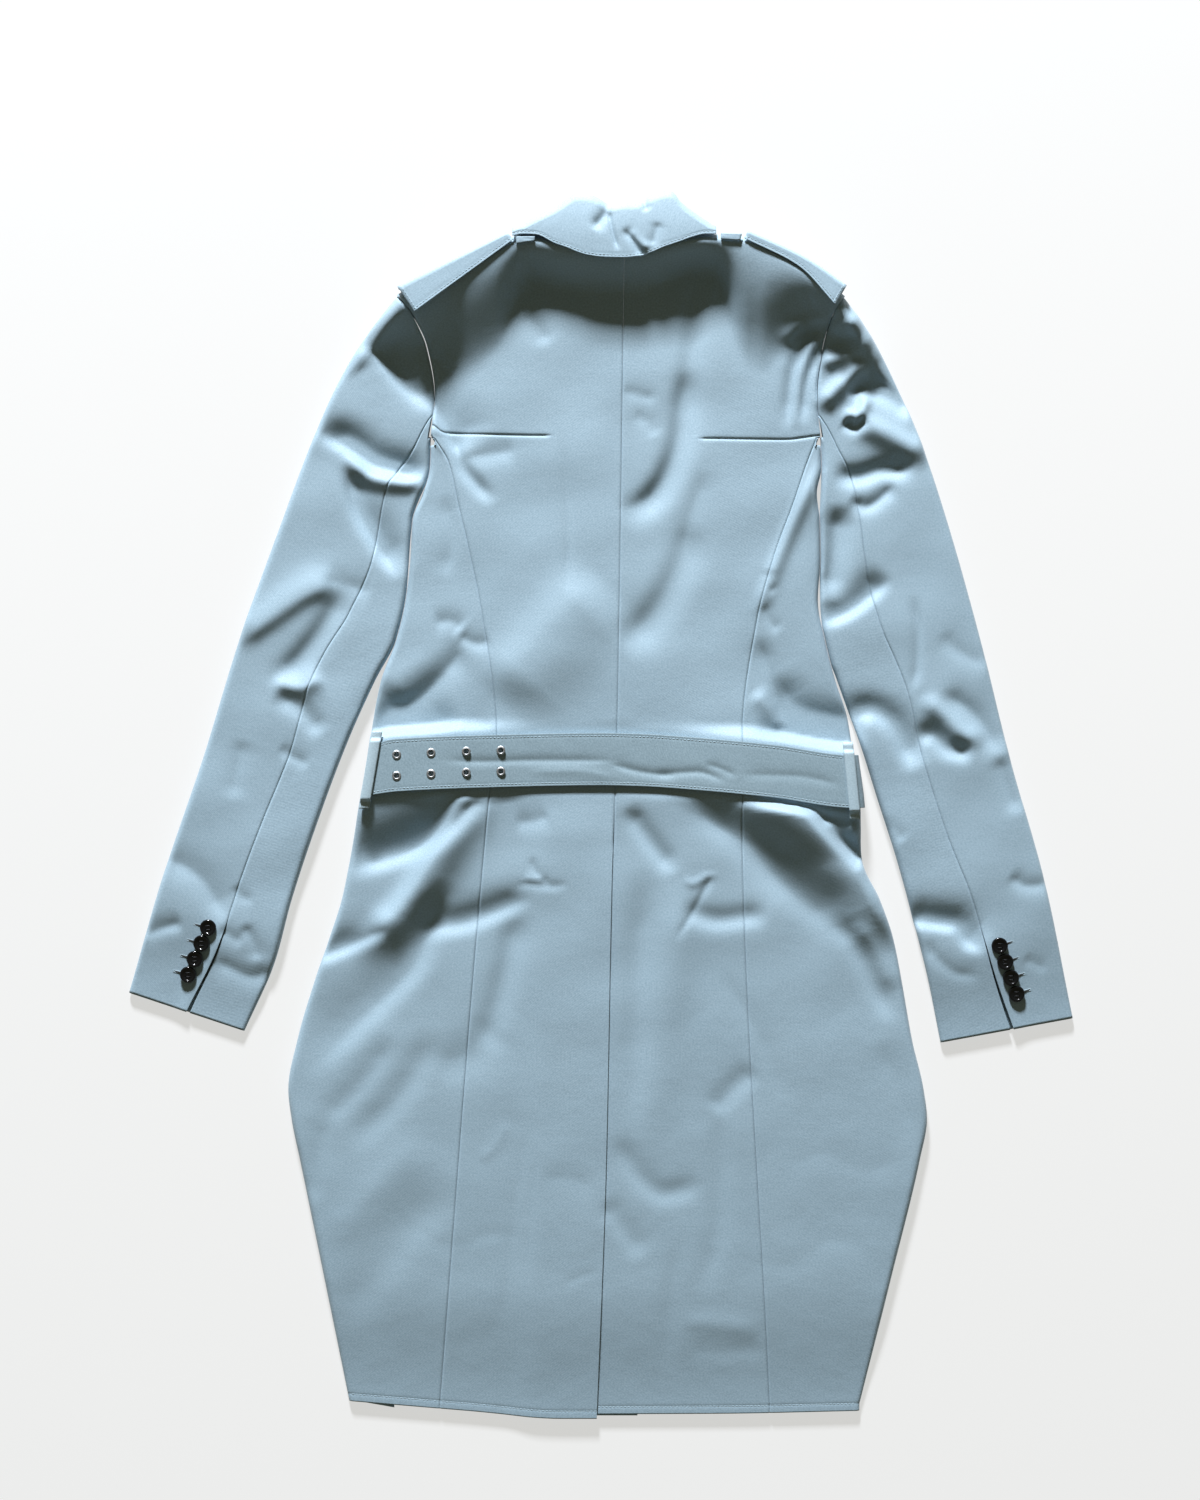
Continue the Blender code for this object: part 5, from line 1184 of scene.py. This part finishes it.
def back_panel(side):
    """Half of the back, from the centre seam to the armhole and the side-back seam."""
    _, way = SIDES[side]
    shares = even_steps(COLUMN_WIDTH["back"])
    near, far = centre_x(NECK_Y), armhole_x[side](SHOULDER_TIP_Y)
    slash_near, slash_far = centre_x(SLASH_Y), armhole_x[side](SLASH_Y)
    hem_near, hem_far = centre_x(HEM_Y), side_back_x[side](HEM_Y)
    columns = [panel_rows(shoulder_y(near + (far - near) * share),
                          slash_y[side](slash_near + (slash_far - slash_near) * share),
                          hem_y[side](hem_near + (hem_far - hem_near) * share)) for share in shares]
    y = np.column_stack(columns)
    seam = centre_x(y) + way * SEAM_GAP / 2
    x = seam * (1 - shares) + back_outer_x(side, y) * shares
    z = round_down(x, y, body_lift(side)(x, y), upper=True)
    z = sink_back(side, x, y, z, seam)
    flap = None
    if side == "left":
        z = z + left_raise(x, y)
    else:
        flap = underlap(y)
    grid = np.dstack([x, y, z])
    panel = cloth(f"back_{side}", grid, WALL, "gabardine", way > 0, flap)
    hem_line = line_at(grid, "last_row", HEM_STITCH)
    stitches = sew(f"hem_stitches_back_{side}", stitch_row(hem_line))
    return panel


def side_back_panel(side):
    """From the side-back seam round the side fold to the side seam underneath."""
    _, way = SIDES[side]
    hem = hem_y[side](side_back_x[side](HEM_Y))
    count = int(SKIRT_LENGTH / CLOTH_STEP)
    skirt = np.linspace(SIDE_BACK_TOP, hem + HEM_MARGIN[0], count)[:-1]
    seam_rows = np.concatenate([skirt, hem + HEM_MARGIN])
    drop_start = SIDE_BACK_TOP - EDGE_DROP_RUN
    edge_rows = seam_rows - EDGE_DROP * ease((seam_rows - drop_start) / EDGE_DROP_RUN)
    edge_hem = hem_y[side](edge_x[side](HEM_Y))
    slanting = ease((HEM_Y + HEM_SLANT_RUN - edge_rows) / HEM_SLANT_RUN)
    edge_rows = edge_rows + (edge_hem - hem) * slanting
    seam = np.column_stack([side_back_x[side](seam_rows) + way * SEAM_GAP / 2, seam_rows])
    edge = np.column_stack([edge_x[side](edge_rows), edge_rows])
    under_x = edge_x[side](seam_rows) - way * (inset(seam_rows) - SEAM_GAP / 2)
    under = np.column_stack([under_x, seam_rows])
    none = np.zeros(len(seam_rows))
    steps = panel_steps("side_back")
    grid = folded_sheet(between(seam, edge), none, between(edge, under), none + 1.0,
                        body_lift(side), floor_height, steps)
    upper = np.arange(grid.shape[1]) < len(steps[0]) + TURN_STEPS // 2
    from_seam = distance_from(grid, "first_column")
    grid[..., 2] -= groove(from_seam, SEAM_DEPTH, SEAM_HALF) * upper
    above_hem = distance_from(grid, "last_row")
    grid[..., 2] -= groove(above_hem - HEM_STITCH, STITCH_DEPTH, STITCH_HALF) * upper
    panel = cloth(f"side_back_{side}", grid, WALL, "gabardine", way > 0)
    hem_line = line_at(grid[:, :len(steps[0])], "last_row", HEM_STITCH)
    stitches = sew(f"hem_stitches_side_{side}", stitch_row(hem_line))
    return panel


def front_outer_x(side, y):
    """Outer boundary of a front: its armhole, then the side seam."""
    _, way = SIDES[side]
    below = edge_x[side](y) - way * inset(y)
    return np.where(y > ARMPIT_Y, armhole_x[side](y), below) - way * SEAM_GAP / 2


def front_panel(side):
    """Plain front underneath, from the shoulder, neck and armhole to its edge past the middle."""
    _, way = SIDES[side]
    shares = even_steps(COLUMN_WIDTH["front"], step=HIDDEN_STEP)
    far = armhole_x[side](SHOULDER_TIP_Y)
    near = centre_x(NECK_Y) - way * FRONT_LAP
    hem_near = centre_x(HEM_Y) - way * FRONT_LAP
    heights = []
    for share in shares:
        x_top = far * (1 - share) + near * share
        hem_x = front_outer_x(side, HEM_Y) * (1 - share) + hem_near * share
        column = panel_rows(shoulder_y(x_top), SLASH_Y, hem_y[side](hem_x) + FRONT_HEM_SHORT, HIDDEN_STEP)
        inside_neck = NECK_HALF_WIDTH - way * (x_top - NECK_MIDDLE_X)
        drop = FRONT_NECK_DROP * ease(inside_neck / NECK_CURVE)
        fade = ease((column - FRONT_NECK_FADE) / (column[0] - FRONT_NECK_FADE))
        heights.append(column - drop * fade)
    y = np.column_stack(heights)
    x = front_outer_x(side, y) * (1 - shares) + (centre_x(y) - way * FRONT_LAP) * shares
    upper = smooth_lift(x, y)
    meet_start, meet_run = NECK_MEET
    inside_neck = NECK_HALF_WIDTH - way * (x - NECK_MIDDLE_X)
    shoulder_share = 1.0 - ease((inside_neck + meet_start) / meet_run)
    meet = round_down(x, y, upper - 2.0 * SHOULDER_GAP, upper=False) * shoulder_share
    layer = front_left_floor if side == "left" else floor_height
    grid = np.dstack([x, y, np.maximum(meet, layer(x, y) + on_surface(x, y))])
    panel = cloth(f"front_{side}", grid, WALL, "gabardine", way > 0)
    return panel


# Sleeves

def sleeve_plan(side, along):
    """Plan function of a sleeve's rows, from its inner edge at share 0 to its outer one at 1."""
    _, way = SIDES[side]
    outer = path_curve(SLEEVE_OUTER[side])(along)
    inner = path_curve(SLEEVE_INNER[side])(along - ARMPIT_FAN * along * (1.0 - along) ** 3)
    beside = edge_x[side](inner[:, 1]) + way * SLEEVE_GAP
    touching = inner[:, 1] > SLEEVE_JOINS_BODY_ABOVE
    inner[:, 0] = np.where(touching, way * np.maximum(way * inner[:, 0], way * beside), inner[:, 0])
    armhole_fade = (1.0 - np.clip(along / ARMHOLE_BLEND, 0.0, 1.0)) ** 2

    def plan(shares):
        shares = np.broadcast_to(shares, (len(along), np.shape(shares)[-1]))
        straight = inner[:, None, :] * (1 - shares[..., None]) + outer[:, None, :] * shares[..., None]
        armhole_height = inner[0, 1] * (1 - shares) + outer[0, 1] * shares
        first = inner[0] * (1 - shares[..., None]) + outer[0] * shares[..., None]
        at_armhole = armhole_x[side](armhole_height) + way * (ARMHOLE_GAP - SEAM_GAP / 2)
        bow = (at_armhole - first[..., 0]) * armhole_fade[:, None]
        return straight + np.stack([bow, np.zeros_like(bow)], axis=-1)

    return plan


def reversed_plan(plan):
    """The same rows, measured from the other end."""
    return lambda shares: plan(1.0 - np.asarray(shares))


def sleeve_height(along):
    """Height field of a sleeve's upper layer, flat towards the cuff."""
    spread = ease((1.0 - along) / CUFF_EASE)

    def height(x, y):
        return lift(x, y, spread[:, None] if np.ndim(x) > 1 else spread, belted=False)

    return height


def on_surface(x, y):
    """Height of cloth that lies on the surface under the coat: only its creases arch up."""
    return relief(x, y, UNDER_CREASES, CREASE_SHARPNESS)


def sink_sleeve(grid, columns, vented, over):
    """Sink a sleeve panel at its seams, and raise the top sleeve's edge over the cuff's vent."""
    upper = np.arange(grid.shape[1]) < columns + TURN_STEPS // 2
    from_seam = distance_from(grid, "first_column")
    from_armhole = distance_from(grid, "first_row")
    grid[..., 2] -= groove(from_seam, SEAM_DEPTH, SEAM_HALF) * upper * (1.0 - vented)
    grid[..., 2] -= groove(from_armhole, ARMHOLE_DEPTH, ARMHOLE_HALF) * upper
    if over:
        grid[..., 2] += groove(from_seam, CUFF_VENT_RAISE, CUFF_VENT_HALF) * upper * vented


def sleeve_panels(side):
    """Top sleeve round the outer fold, under sleeve round the inner one."""
    _, way = SIDES[side]
    along = even_steps(SLEEVE_LENGTH, near_end=False)
    plan = sleeve_plan(side, along)
    back = reversed_plan(plan)
    seam = sleeve_seam_share[side](along)
    under_seam = np.full(len(along), UNDER_SEAM_SHARE)
    ends = plan(np.array([0.0, 1.0]))
    width = np.linalg.norm(ends[:, 0] - ends[:, 1], axis=1)
    slanting = 1.0 - ease(along / SLANT_RUN)
    gap = 0.5 * SEAM_GAP / width * (1.0 + SLANT_WIDENING * slanting)
    height = sleeve_height(along)
    top_steps, under_steps = panel_steps("top_sleeve"), panel_steps("under_sleeve")
    top = folded_sheet(plan, seam + gap, back, 1.0 - under_seam - gap, height, on_surface, top_steps)
    rounding = ARMPIT_ROUND + (1.0 - ARMPIT_ROUND) * ease(along / ARMPIT_ROUND_RUN)
    drawn_back = CUFF_VENT_GAP / width * np.clip((along - CUFF_VENT_TOP) / (1.0 - CUFF_VENT_TOP), 0.0, 1.0)
    under = folded_sheet(back, 1.0 - seam + gap + drawn_back, plan, under_seam - gap, height, on_surface,
                         under_steps, rounding)
    vented = ease((along - CUFF_VENT_TOP) / CUFF_VENT_RUN)[:, None]
    sink_sleeve(top, len(top_steps[0]), vented, over=True)
    sink_sleeve(under, len(under_steps[0]), vented, over=False)
    top_piece = cloth(f"top_sleeve_{side}", top, WALL, "gabardine", way > 0)
    under_piece = cloth(f"under_sleeve_{side}", under, WALL, "gabardine", way < 0)
    keep_on_surface(under_piece)


# Collar, straps and loops

def collar_height(x, y):
    """Outer face of the collar's fall, over the back."""
    droop = COLLAR_DROOP * np.maximum(y - COLLAR_DROOP_Y, 0.0) ** 2
    return COLLAR_LEVEL - droop + relief(x, y, COLLAR_CREASES, CREASE_SHARPNESS)


def strap_height(x, y):
    """Outer face of a shoulder strap."""
    below_shoulder = np.maximum(shoulder_y(x) - y, 0.0)
    return STRAP_LEVEL - STRAP_TIP * np.maximum(STRAP_WIDEST - below_shoulder, 0.0)


def keeper_height(x, y):
    """Outer face of a strap keeper, over the highest cloth near each of its points."""
    near = [shoulder_height(x + dx, y + dy) for dx, dy in KEEPER_FEELERS]
    return np.max(near, axis=0) + STRAP_WALL + LAY_GAP


def shoulder_height(x, y):
    """Outer face of the back where it rounds down to the shoulder line."""
    return round_down(x, y, smooth_lift(x, y), upper=True)


def collar():
    """Folded leaf: the fall on the back, the roll at the top, the ends flat underneath."""
    rows = np.array(COLLAR, dtype=float)
    x = np.linspace(rows[0, 0], rows[-1, 0], int((rows[-1, 0] - rows[0, 0]) / FINE_STEP))
    fall, roll, under = (curve(rows, column)(x) for column in (1, 2, 3))
    radius = np.minimum(COLLAR_FOLD, COLLAR_FOLD_SHARE * (roll - fall))
    turn = roll - radius
    on_back = np.column_stack([x, fall])
    at_roll = np.column_stack([x, roll])
    at_turn = np.column_stack([x, turn])
    leaf_edge = np.column_stack([x, np.minimum(under, turn - COLLAR_LEAF_LEAST)])
    steps = even_steps(COLUMN_WIDTH["collar"], near_end=False, step=FINE_STEP)
    upper = flat_run(between(on_back, at_turn), steps, collar_height)
    inward = np.tile([0.0, -1.0], (len(x), 1))
    folded = fold_run(at_roll, inward, radius, upper[:, -1, 2], np.zeros(len(x)))
    under_steps = np.linspace(0, 1, UNDER_COLUMNS["collar"])[1:]
    lower = flat_run(between(at_turn, leaf_edge), under_steps, on_surface)
    grid = np.concatenate([upper, folded[:, 1:], lower], axis=1)
    from_edge = distance_from(grid, "first_column")
    grid[..., 2] -= groove(from_edge - COLLAR_STITCH, STITCH_DEPTH, STITCH_HALF)
    piece = cloth("collar", grid, COLLAR_WALL, "gabardine", flip=True)
    stitches = sew("collar_stitches", stitch_row(line_at(grid, "first_column", COLLAR_STITCH)))


def shoulder_strap(side):
    """Strip that lies along the shoulder edge and rounds over it to half its height."""
    rows = STRAPS[side]
    share = np.linspace(0.0, 1.0, STRAP_ROWS)
    lower_x, lower_y, outline_x, outline_y = (curve(rows, column)(share) for column in (1, 2, 3, 4))
    lower = np.column_stack([lower_x, lower_y])
    outline = np.column_stack([outline_x, outline_y])
    width = np.linalg.norm(outline - lower, axis=1)
    radius = np.minimum(STRAP_ROUND, STRAP_ROUND_SHARE * width)
    turn = outline + (lower - outline) * (radius / width)[:, None]
    steps = even_steps(COLUMN_WIDTH["strap"], near_end=False)
    upper = flat_run(between(lower, turn), steps, strap_height)
    level_under = np.full(len(share), STRAP_UNDER)
    folded = fold_run(outline, unit(lower - outline), radius, upper[:, -1, 2], level_under)
    grid = np.concatenate([upper, folded[:, 1:TURN_STEPS // 2 + 1]], axis=1)
    for border in ("first_column", "first_row", "last_row"):
        from_edge = distance_from(grid, border)
        grid[..., 2] -= groove(from_edge - STRAP_STITCH, STITCH_DEPTH, STITCH_HALF)
    piece = cloth(f"shoulder_strap_{side}", grid, STRAP_WALL, "gabardine",
                  flip=rows[0][1] < rows[-1][1])
    lines = [line_at(grid, border, STRAP_STITCH) for border in ("first_column", "first_row")]
    pairs = np.concatenate([stitch_row(line) for line in lines])
    stitches = sew(f"strap_stitches_{side}", pairs)


def strap_keeper(side):
    """Short band flat on the back, between the strap's end and the collar."""
    share = np.linspace(0.0, 1.0, KEEPER_ROWS)
    lower_x, lower_y, upper_x, upper_y = (curve(KEEPERS[side], column)(share) for column in (1, 2, 3, 4))
    rows = between(np.column_stack([lower_x, lower_y]), np.column_stack([upper_x, upper_y]))
    grid = flat_run(rows, np.linspace(0, 1, KEEPER_COLUMNS), keeper_height)
    piece = cloth(f"strap_keeper_{side}", grid, STRAP_WALL, "gabardine", flip=lower_x[0] < lower_x[-1])


def belt_surface(x, y):
    """Height of the belt's outer face where it crosses the back."""
    return smooth_lift(x, y) + LAY_GAP + BELT_WALL


def belt_grid():
    """Outer face of the belt: across the back, round the right fold and back underneath."""
    across = (0.5 - even_steps(BELT_WIDTH, step=FINE_STEP))[None, :] * BELT_WIDTH
    body_edge = edge_x["right"](BELT_UNDER_Y + across)
    turn_x = body_edge - WAIST_TURN
    x = BELT_TIP_X + (turn_x - BELT_TIP_X) * np.linspace(0.0, 1.0, BELT_ROWS)[:, None]
    y = belt_y(x) + across
    slant_fade = 1.0 - ease((x - BELT_TIP_X) / BELT_TIP_RUN)
    x = x + BELT_TIP_SLANT * across / (0.5 * BELT_WIDTH) * slant_fade
    upper = np.dstack([x, y, belt_surface(x, y)])
    edge = np.column_stack([body_edge[0] + BELT_WALL + BELT_TURN_GAP, y[-1]])
    radius = edge[:, 0] - x[-1]
    inward = np.tile([-1.0, 0.0], (len(edge), 1))
    folded = fold_run(edge, inward, radius, upper[-1, :, 2], np.zeros(len(edge)), BELT_TURN_STEPS)
    folded = np.transpose(folded, (1, 0, 2))[1:]
    under_start = folded[-1, 0, 0] - BELT_UNDER_START
    back_x = np.linspace(under_start, BELT_UNDER_END, BELT_UNDER_ROWS)[:, None] + 0.0 * across
    lower = np.dstack([back_x, BELT_UNDER_Y + 0.0 * back_x + across, 0.0 * back_x])
    return np.concatenate([upper, folded, lower])


def belt():
    """Stiffened belt, stitched along both edges and its tip, with its eyelet holes cut through."""
    grid = belt_grid()
    shown = np.arange(len(grid))[:, None] < BELT_ROWS
    for border in ("first_column", "last_column", "first_row"):
        from_edge = distance_from(grid, border)
        grid[..., 2] -= groove(from_edge - BELT_STITCH, STITCH_DEPTH, STITCH_HALF) * shown
    grid[..., 2] += relief(grid[..., 0], grid[..., 1], BELT_CREASES, CREASE_SHARPNESS) * shown
    piece = cloth("belt", grid, BELT_WALL, "belt_gabardine")
    mesh = cut_away(piece, [hole_cutter(f"eyelet_{number}") for number in range(1, EYELET_COUNT + 1)])
    piece.modifiers.clear()
    piece.data = mesh
    top = grid[:BELT_ROWS]
    lines = [line_at(top, border, BELT_STITCH) for border in ("first_column", "last_column", "first_row")]
    stitches = sew("belt_stitches", np.concatenate([stitch_row(line) for line in lines]))


def hole_cutter(node):
    """Cylinder through the belt at an eyelet."""
    low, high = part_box(node)
    return round_cutter(f"{node}_cutter", [(low + high) / 2], EYELET_BARREL + EYELET_CLEARANCE,
                        EYELET_PIN_LENGTH, EYELET_PIN_SIDES)


def belt_loop(side):
    """Narrow strip over the belt, its two ends lying on the coat."""
    top_x, bottom_x, top_y, bottom_y = LOOPS[side]
    belt_middle = float(belt_y(0.5 * (top_x + bottom_x)))
    outside = 0.5 * BELT_WIDTH + LOOP_CLEAR
    y = np.linspace(top_y + LOOP_FOOT, bottom_y - LOOP_FOOT, LOOP_ROWS)
    x = top_x + (bottom_x - top_x) * (y[0] - y) / (y[0] - y[-1])
    across = np.linspace(-0.5, 0.5, LOOP_COLUMNS)
    grid_x = x[:, None] + across * LOOP_WIDTH
    grid_y = np.repeat(y[:, None], len(across), axis=1)
    reach = 0.5 * LOOP_WIDTH + LOOP_FEEL
    above = LAY_GAP + LOOP_WALL
    on_coat = np.array([highest(smooth_lift, px, py, reach) for px, py in zip(x, y)]) + above
    over_belt = np.array([highest(belt_surface, px, py, reach) for px, py in zip(x, y)]) + above
    crossing = 1.0 - ease((np.abs(y - belt_middle) - outside) / (LOOP_FALL * LOOP_CLEAR))
    z = (on_coat + (over_belt - on_coat) * crossing)[:, None] + LOOP_BOW * (1.0 - 4.0 * across ** 2)
    grid = np.dstack([grid_x, grid_y, z])[:, ::-1]
    # The loop's lighter finish is a painted highlight on the same gabardine.
    piece = cloth(f"belt_loop_{side}", grid, LOOP_WALL, "loop_gabardine")


def highest(height, x, y, radius):
    """Highest point of a height field under a disc."""
    angle = np.linspace(0.0, 2.0 * np.pi, 13)
    ring_x = x + np.outer([0.0, 0.5, 1.0], radius * np.cos(angle)).ravel()
    ring_y = y + np.outer([0.0, 0.5, 1.0], radius * np.sin(angle)).ravel()
    return float(np.max(height(ring_x, ring_y)))


# Buttons and eyelets

def turned(name, profile):
    """Mesh turned about the Z axis. The profile runs down its outer side, in millimetres."""
    mesh = bpy.data.meshes.new(f"{name}_profile")
    points = [(radius * MM, 0.0, height * MM) for radius, height in profile]
    edges = [(i, i + 1) for i in range(len(points) - 1)]
    if profile[0][0] > 0.0:
        edges.append((len(points) - 1, 0))
    mesh.from_pydata(points, edges, [])
    made = bpy.data.objects.new(name, mesh)
    bpy.context.scene.collection.objects.link(made)
    screw = made.modifiers.new("turning", "SCREW")
    screw.steps = screw.render_steps = TURNING_STEPS
    screw.use_merge_vertices = True
    screw.merge_threshold = 0.00001
    return made


def finish_turned(mesh, slot):
    """Give a turned mesh its finish, smooth but for its sharp edges."""
    mesh.materials.append(FINISHES[slot])
    mesh.shade_smooth()
    mesh.set_sharp_from_angle(angle=np.radians(SHARP_ANGLE[slot]))


def placed(name, mesh, node):
    """Piece with a ready mesh, its foot at the middle of its solid's foot."""
    low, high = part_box(node)
    made = bpy.data.objects.new(name, mesh)
    made.location = ((low.x + high.x) / 2, (low.y + high.y) / 2, low.z)
    bpy.context.scene.collection.objects.link(made)
    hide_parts(node)
    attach(made, "root")
    return made


def eyelets():
    """Rolled nickel eyelets: a domed flange on the belt and a barrel through it."""
    low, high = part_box("eyelet_1")
    tall = (high.z - low.z) / MM
    rim = tall - EYELET_LIP
    profile = (
        (EYELET_HOLE, tall - 0.45), (EYELET_HOLE + 0.2, tall - 0.12), (EYELET_HOLE + 0.6, tall),
        (EYELET_FLANGE - 0.9, tall - 0.05), (EYELET_FLANGE - 0.3, tall - 0.3), (EYELET_FLANGE, rim),
        (EYELET_BARREL, rim), (EYELET_BARREL, EYELET_CLEARANCE), (EYELET_BARREL - 0.2, 0.0),
        (EYELET_HOLE, 0.0),
    )
    pattern = turned("eyelet_pattern", profile)
    mesh = mesh_of(pattern)
    bpy.data.objects.remove(pattern, do_unlink=True)
    finish_turned(mesh, "eyelet_nickel")
    for number in range(1, EYELET_COUNT + 1):
        placed(f"rolled_eyelet_{number}", mesh, f"eyelet_{number}")


def button_mesh():
    """Four-hole button: a hollowed middle inside a rounded rim."""
    radius = 0.5 * BUTTON_DIAMETER
    button = turned("button_pattern", [(share * radius, height) for share, height in BUTTON_PROFILE])
    apart = BUTTON_HOLE_OFFSET * MM
    middles = [(apart * across, apart * along, 0.0) for across in (-1, 1) for along in (-1, 1)]
    cutter = round_cutter("button_holes", middles, BUTTON_HOLE, BUTTON_PIN_LENGTH, BUTTON_PIN_SIDES)
    mesh = cut_away(button, [cutter])
    bpy.data.objects.remove(button, do_unlink=True)
    finish_turned(mesh, "button_resin")
    return mesh


def worked_hole(end, way):
    """Stitches of a buttonhole, as pairs of plan points: down both its sides, then its bar."""
    across = np.array([-way[1], way[0]])
    inner, outer = BUTTONHOLE_REACH
    pairs = []
    for number in range(BUTTONHOLE_STITCHES):
        place = end - way * BUTTONHOLE_PITCH * number
        for half in (-1, 1):
            pairs.append([place + across * half * inner, place + across * half * outer])
    pairs.append([end + across * BUTTONHOLE_BAR, end - across * BUTTONHOLE_BAR])
    return pairs


def on_cuff(side, pairs):
    """Pairs of plan points, laid on the sleeve near its cuff."""
    pairs = np.array(pairs)
    level = cuff_height(side)(pairs[..., 0], pairs[..., 1]) + THREAD_LIFT
    return np.dstack([pairs, level])


def cuff_buttons(side, mesh):
    """A row of kissing buttons sewn with dark thread, each with its worked hole beside it."""
    way = np.array(BUTTONHOLE_WAY[side])
    apart = BUTTON_HOLE_OFFSET
    slit_shade_start, slit_shade_end = BUTTONHOLE_SLIT_SHADE
    threads, holes, slit_shades = [], [], []
    for number in range(1, BUTTONS_EACH + 1):
        node = f"cuff_button_{side}_{number}"
        low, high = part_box(node)
        x, y = (low.x + high.x) / 2 / MM - MIDDLE_X, (low.y + high.y) / 2 / MM
        face = low.z / MM + BUTTON_THREAD_LEVEL
        placed(f"polished_button_{side}_{number}", mesh, node)
        for offset in (-apart, apart):
            threads.append([(x - apart, y + offset, face), (x + apart, y + offset, face)])
        end = np.array([x, y]) + way * BUTTONHOLE_LENGTH
        holes.extend(worked_hole(end, way))
        slit_shades.append([end - way * slit_shade_start, end - way * slit_shade_end])
    sew(f"button_thread_{side}", np.array(threads), BUTTON_THREAD, "dark_thread_and_slit_shade")
    sew(f"buttonholes_{side}", on_cuff(side, holes), BUTTON_THREAD)
    # A dark thread along each hole's middle paints the shade of its slit.
    sew(f"buttonhole_slit_shades_{side}", on_cuff(side, slit_shades), SLIT_SHADE_RADIUS, "dark_thread_and_slit_shade", sunk=0.0)


def cuff_height(side):
    """Height of the sleeve near its cuff, as a field of plan points."""
    outer_end = np.array(SLEEVE_OUTER[side][-1])
    inner_end = np.array(SLEEVE_INNER[side][-1])
    down = np.array([outer_end[1] - inner_end[1], inner_end[0] - outer_end[0]])
    down = down / np.linalg.norm(down)
    down = down if down[1] < 0 else -down
    length = np.linalg.norm(np.diff(np.array(SLEEVE_OUTER[side], dtype=float), axis=0), axis=1).sum()

    def height(x, y):
        left_to_go = (outer_end[0] - x) * down[0] + (outer_end[1] - y) * down[1]
        return lift(x, y, ease(left_to_go / length / CUFF_EASE), belted=False)

    return height


# Floor, light and camera

CAMERA_HEIGHT = 2.2
VIEW_LENGTH = 1.29
VIEW_MIDDLE = (-0.0008, 0.049)
CLOTH_LEVEL = 0.008

# The window: its distance, how high it stands and how far it is turned left of the neck, in degrees
WINDOW_DISTANCE = 5.6
WINDOW_RISE = 22.0
WINDOW_TURN = 8.0
WINDOW_SIZE = 0.75
WINDOW_POWER = 850.0
WINDOW_COLOUR = "F4F8FF"
ROOM_COLOUR = "FFF9D4"
ROOM_STRENGTH = 0.11
FLOOR_HALF = 30.0
FLOOR_LEVEL = -0.0002


def floor():
    """Plain pale floor."""
    tool = bmesh.new()
    bmesh.ops.create_grid(tool, x_segments=1, y_segments=1, size=FLOOR_HALF)
    mesh = bpy.data.meshes.new("floor")
    tool.to_mesh(mesh)
    tool.free()
    mesh.materials.append(pale_floor())
    made = bpy.data.objects.new("floor", mesh)
    made.location.z = FLOOR_LEVEL
    bpy.context.scene.collection.objects.link(made)


def area_light(name, place, aim, size, power, colour):
    """Soft square light at a place, aimed at a point."""
    data = bpy.data.lights.new(name, "AREA")
    data.shape = "SQUARE"
    data.size = size
    data.energy = power
    data.color = linear(colour)[:3]
    made = bpy.data.objects.new(name, data)
    made.location = place
    made.rotation_euler = (Vector(aim) - Vector(place)).to_track_quat("-Z", "Y").to_euler()
    bpy.context.scene.collection.objects.link(made)


def studio():
    """A low window of light from beyond the collar, and a dim warm room round it."""
    rise, turn = np.radians(WINDOW_RISE), np.radians(WINDOW_TURN)
    toward = np.array([-np.cos(rise) * np.sin(turn), np.cos(rise) * np.cos(turn), np.sin(rise)])
    area_light("window", WINDOW_DISTANCE * toward, (0.0, 0.0, 0.0), WINDOW_SIZE, WINDOW_POWER, WINDOW_COLOUR)
    world = bpy.data.worlds.new("dim_room")
    world.use_nodes = True
    room = world.node_tree.nodes["Background"]
    room.inputs["Color"].default_value = linear(ROOM_COLOUR)
    room.inputs["Strength"].default_value = ROOM_STRENGTH
    bpy.context.scene.world = world
    bpy.context.scene.view_settings.view_transform = "Standard"


def camera():
    """Straight above the coat, framed as the photograph."""
    data = bpy.data.cameras.new("camera")
    data.lens = data.sensor_width * CAMERA_HEIGHT / VIEW_LENGTH
    made = bpy.data.objects.new("camera", data)
    made.location = (*VIEW_MIDDLE, CAMERA_HEIGHT + CLOTH_LEVEL)
    bpy.context.scene.collection.objects.link(made)
    bpy.context.scene.camera = made


def build():
    """Make the coat's cloth, its hard parts and its surroundings."""
    camera()
    floor()
    studio()
    for side in SIDES:
        front_panel(side)
        back_panel(side)
        side_back_panel(side)
        sleeve_panels(side)
        shoulder_strap(side)
        strap_keeper(side)
    collar()
    belt()
    for side in SIDES:
        belt_loop(side)
    eyelets()
    button = button_mesh()
    for side in SIDES:
        cuff_buttons(side, button)
    for node in ("buckle_frame", "buckle_prong_1", "buckle_prong_2"):
        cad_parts[node].data.materials[0] = FINISHES["buckle_nickel"]


build()
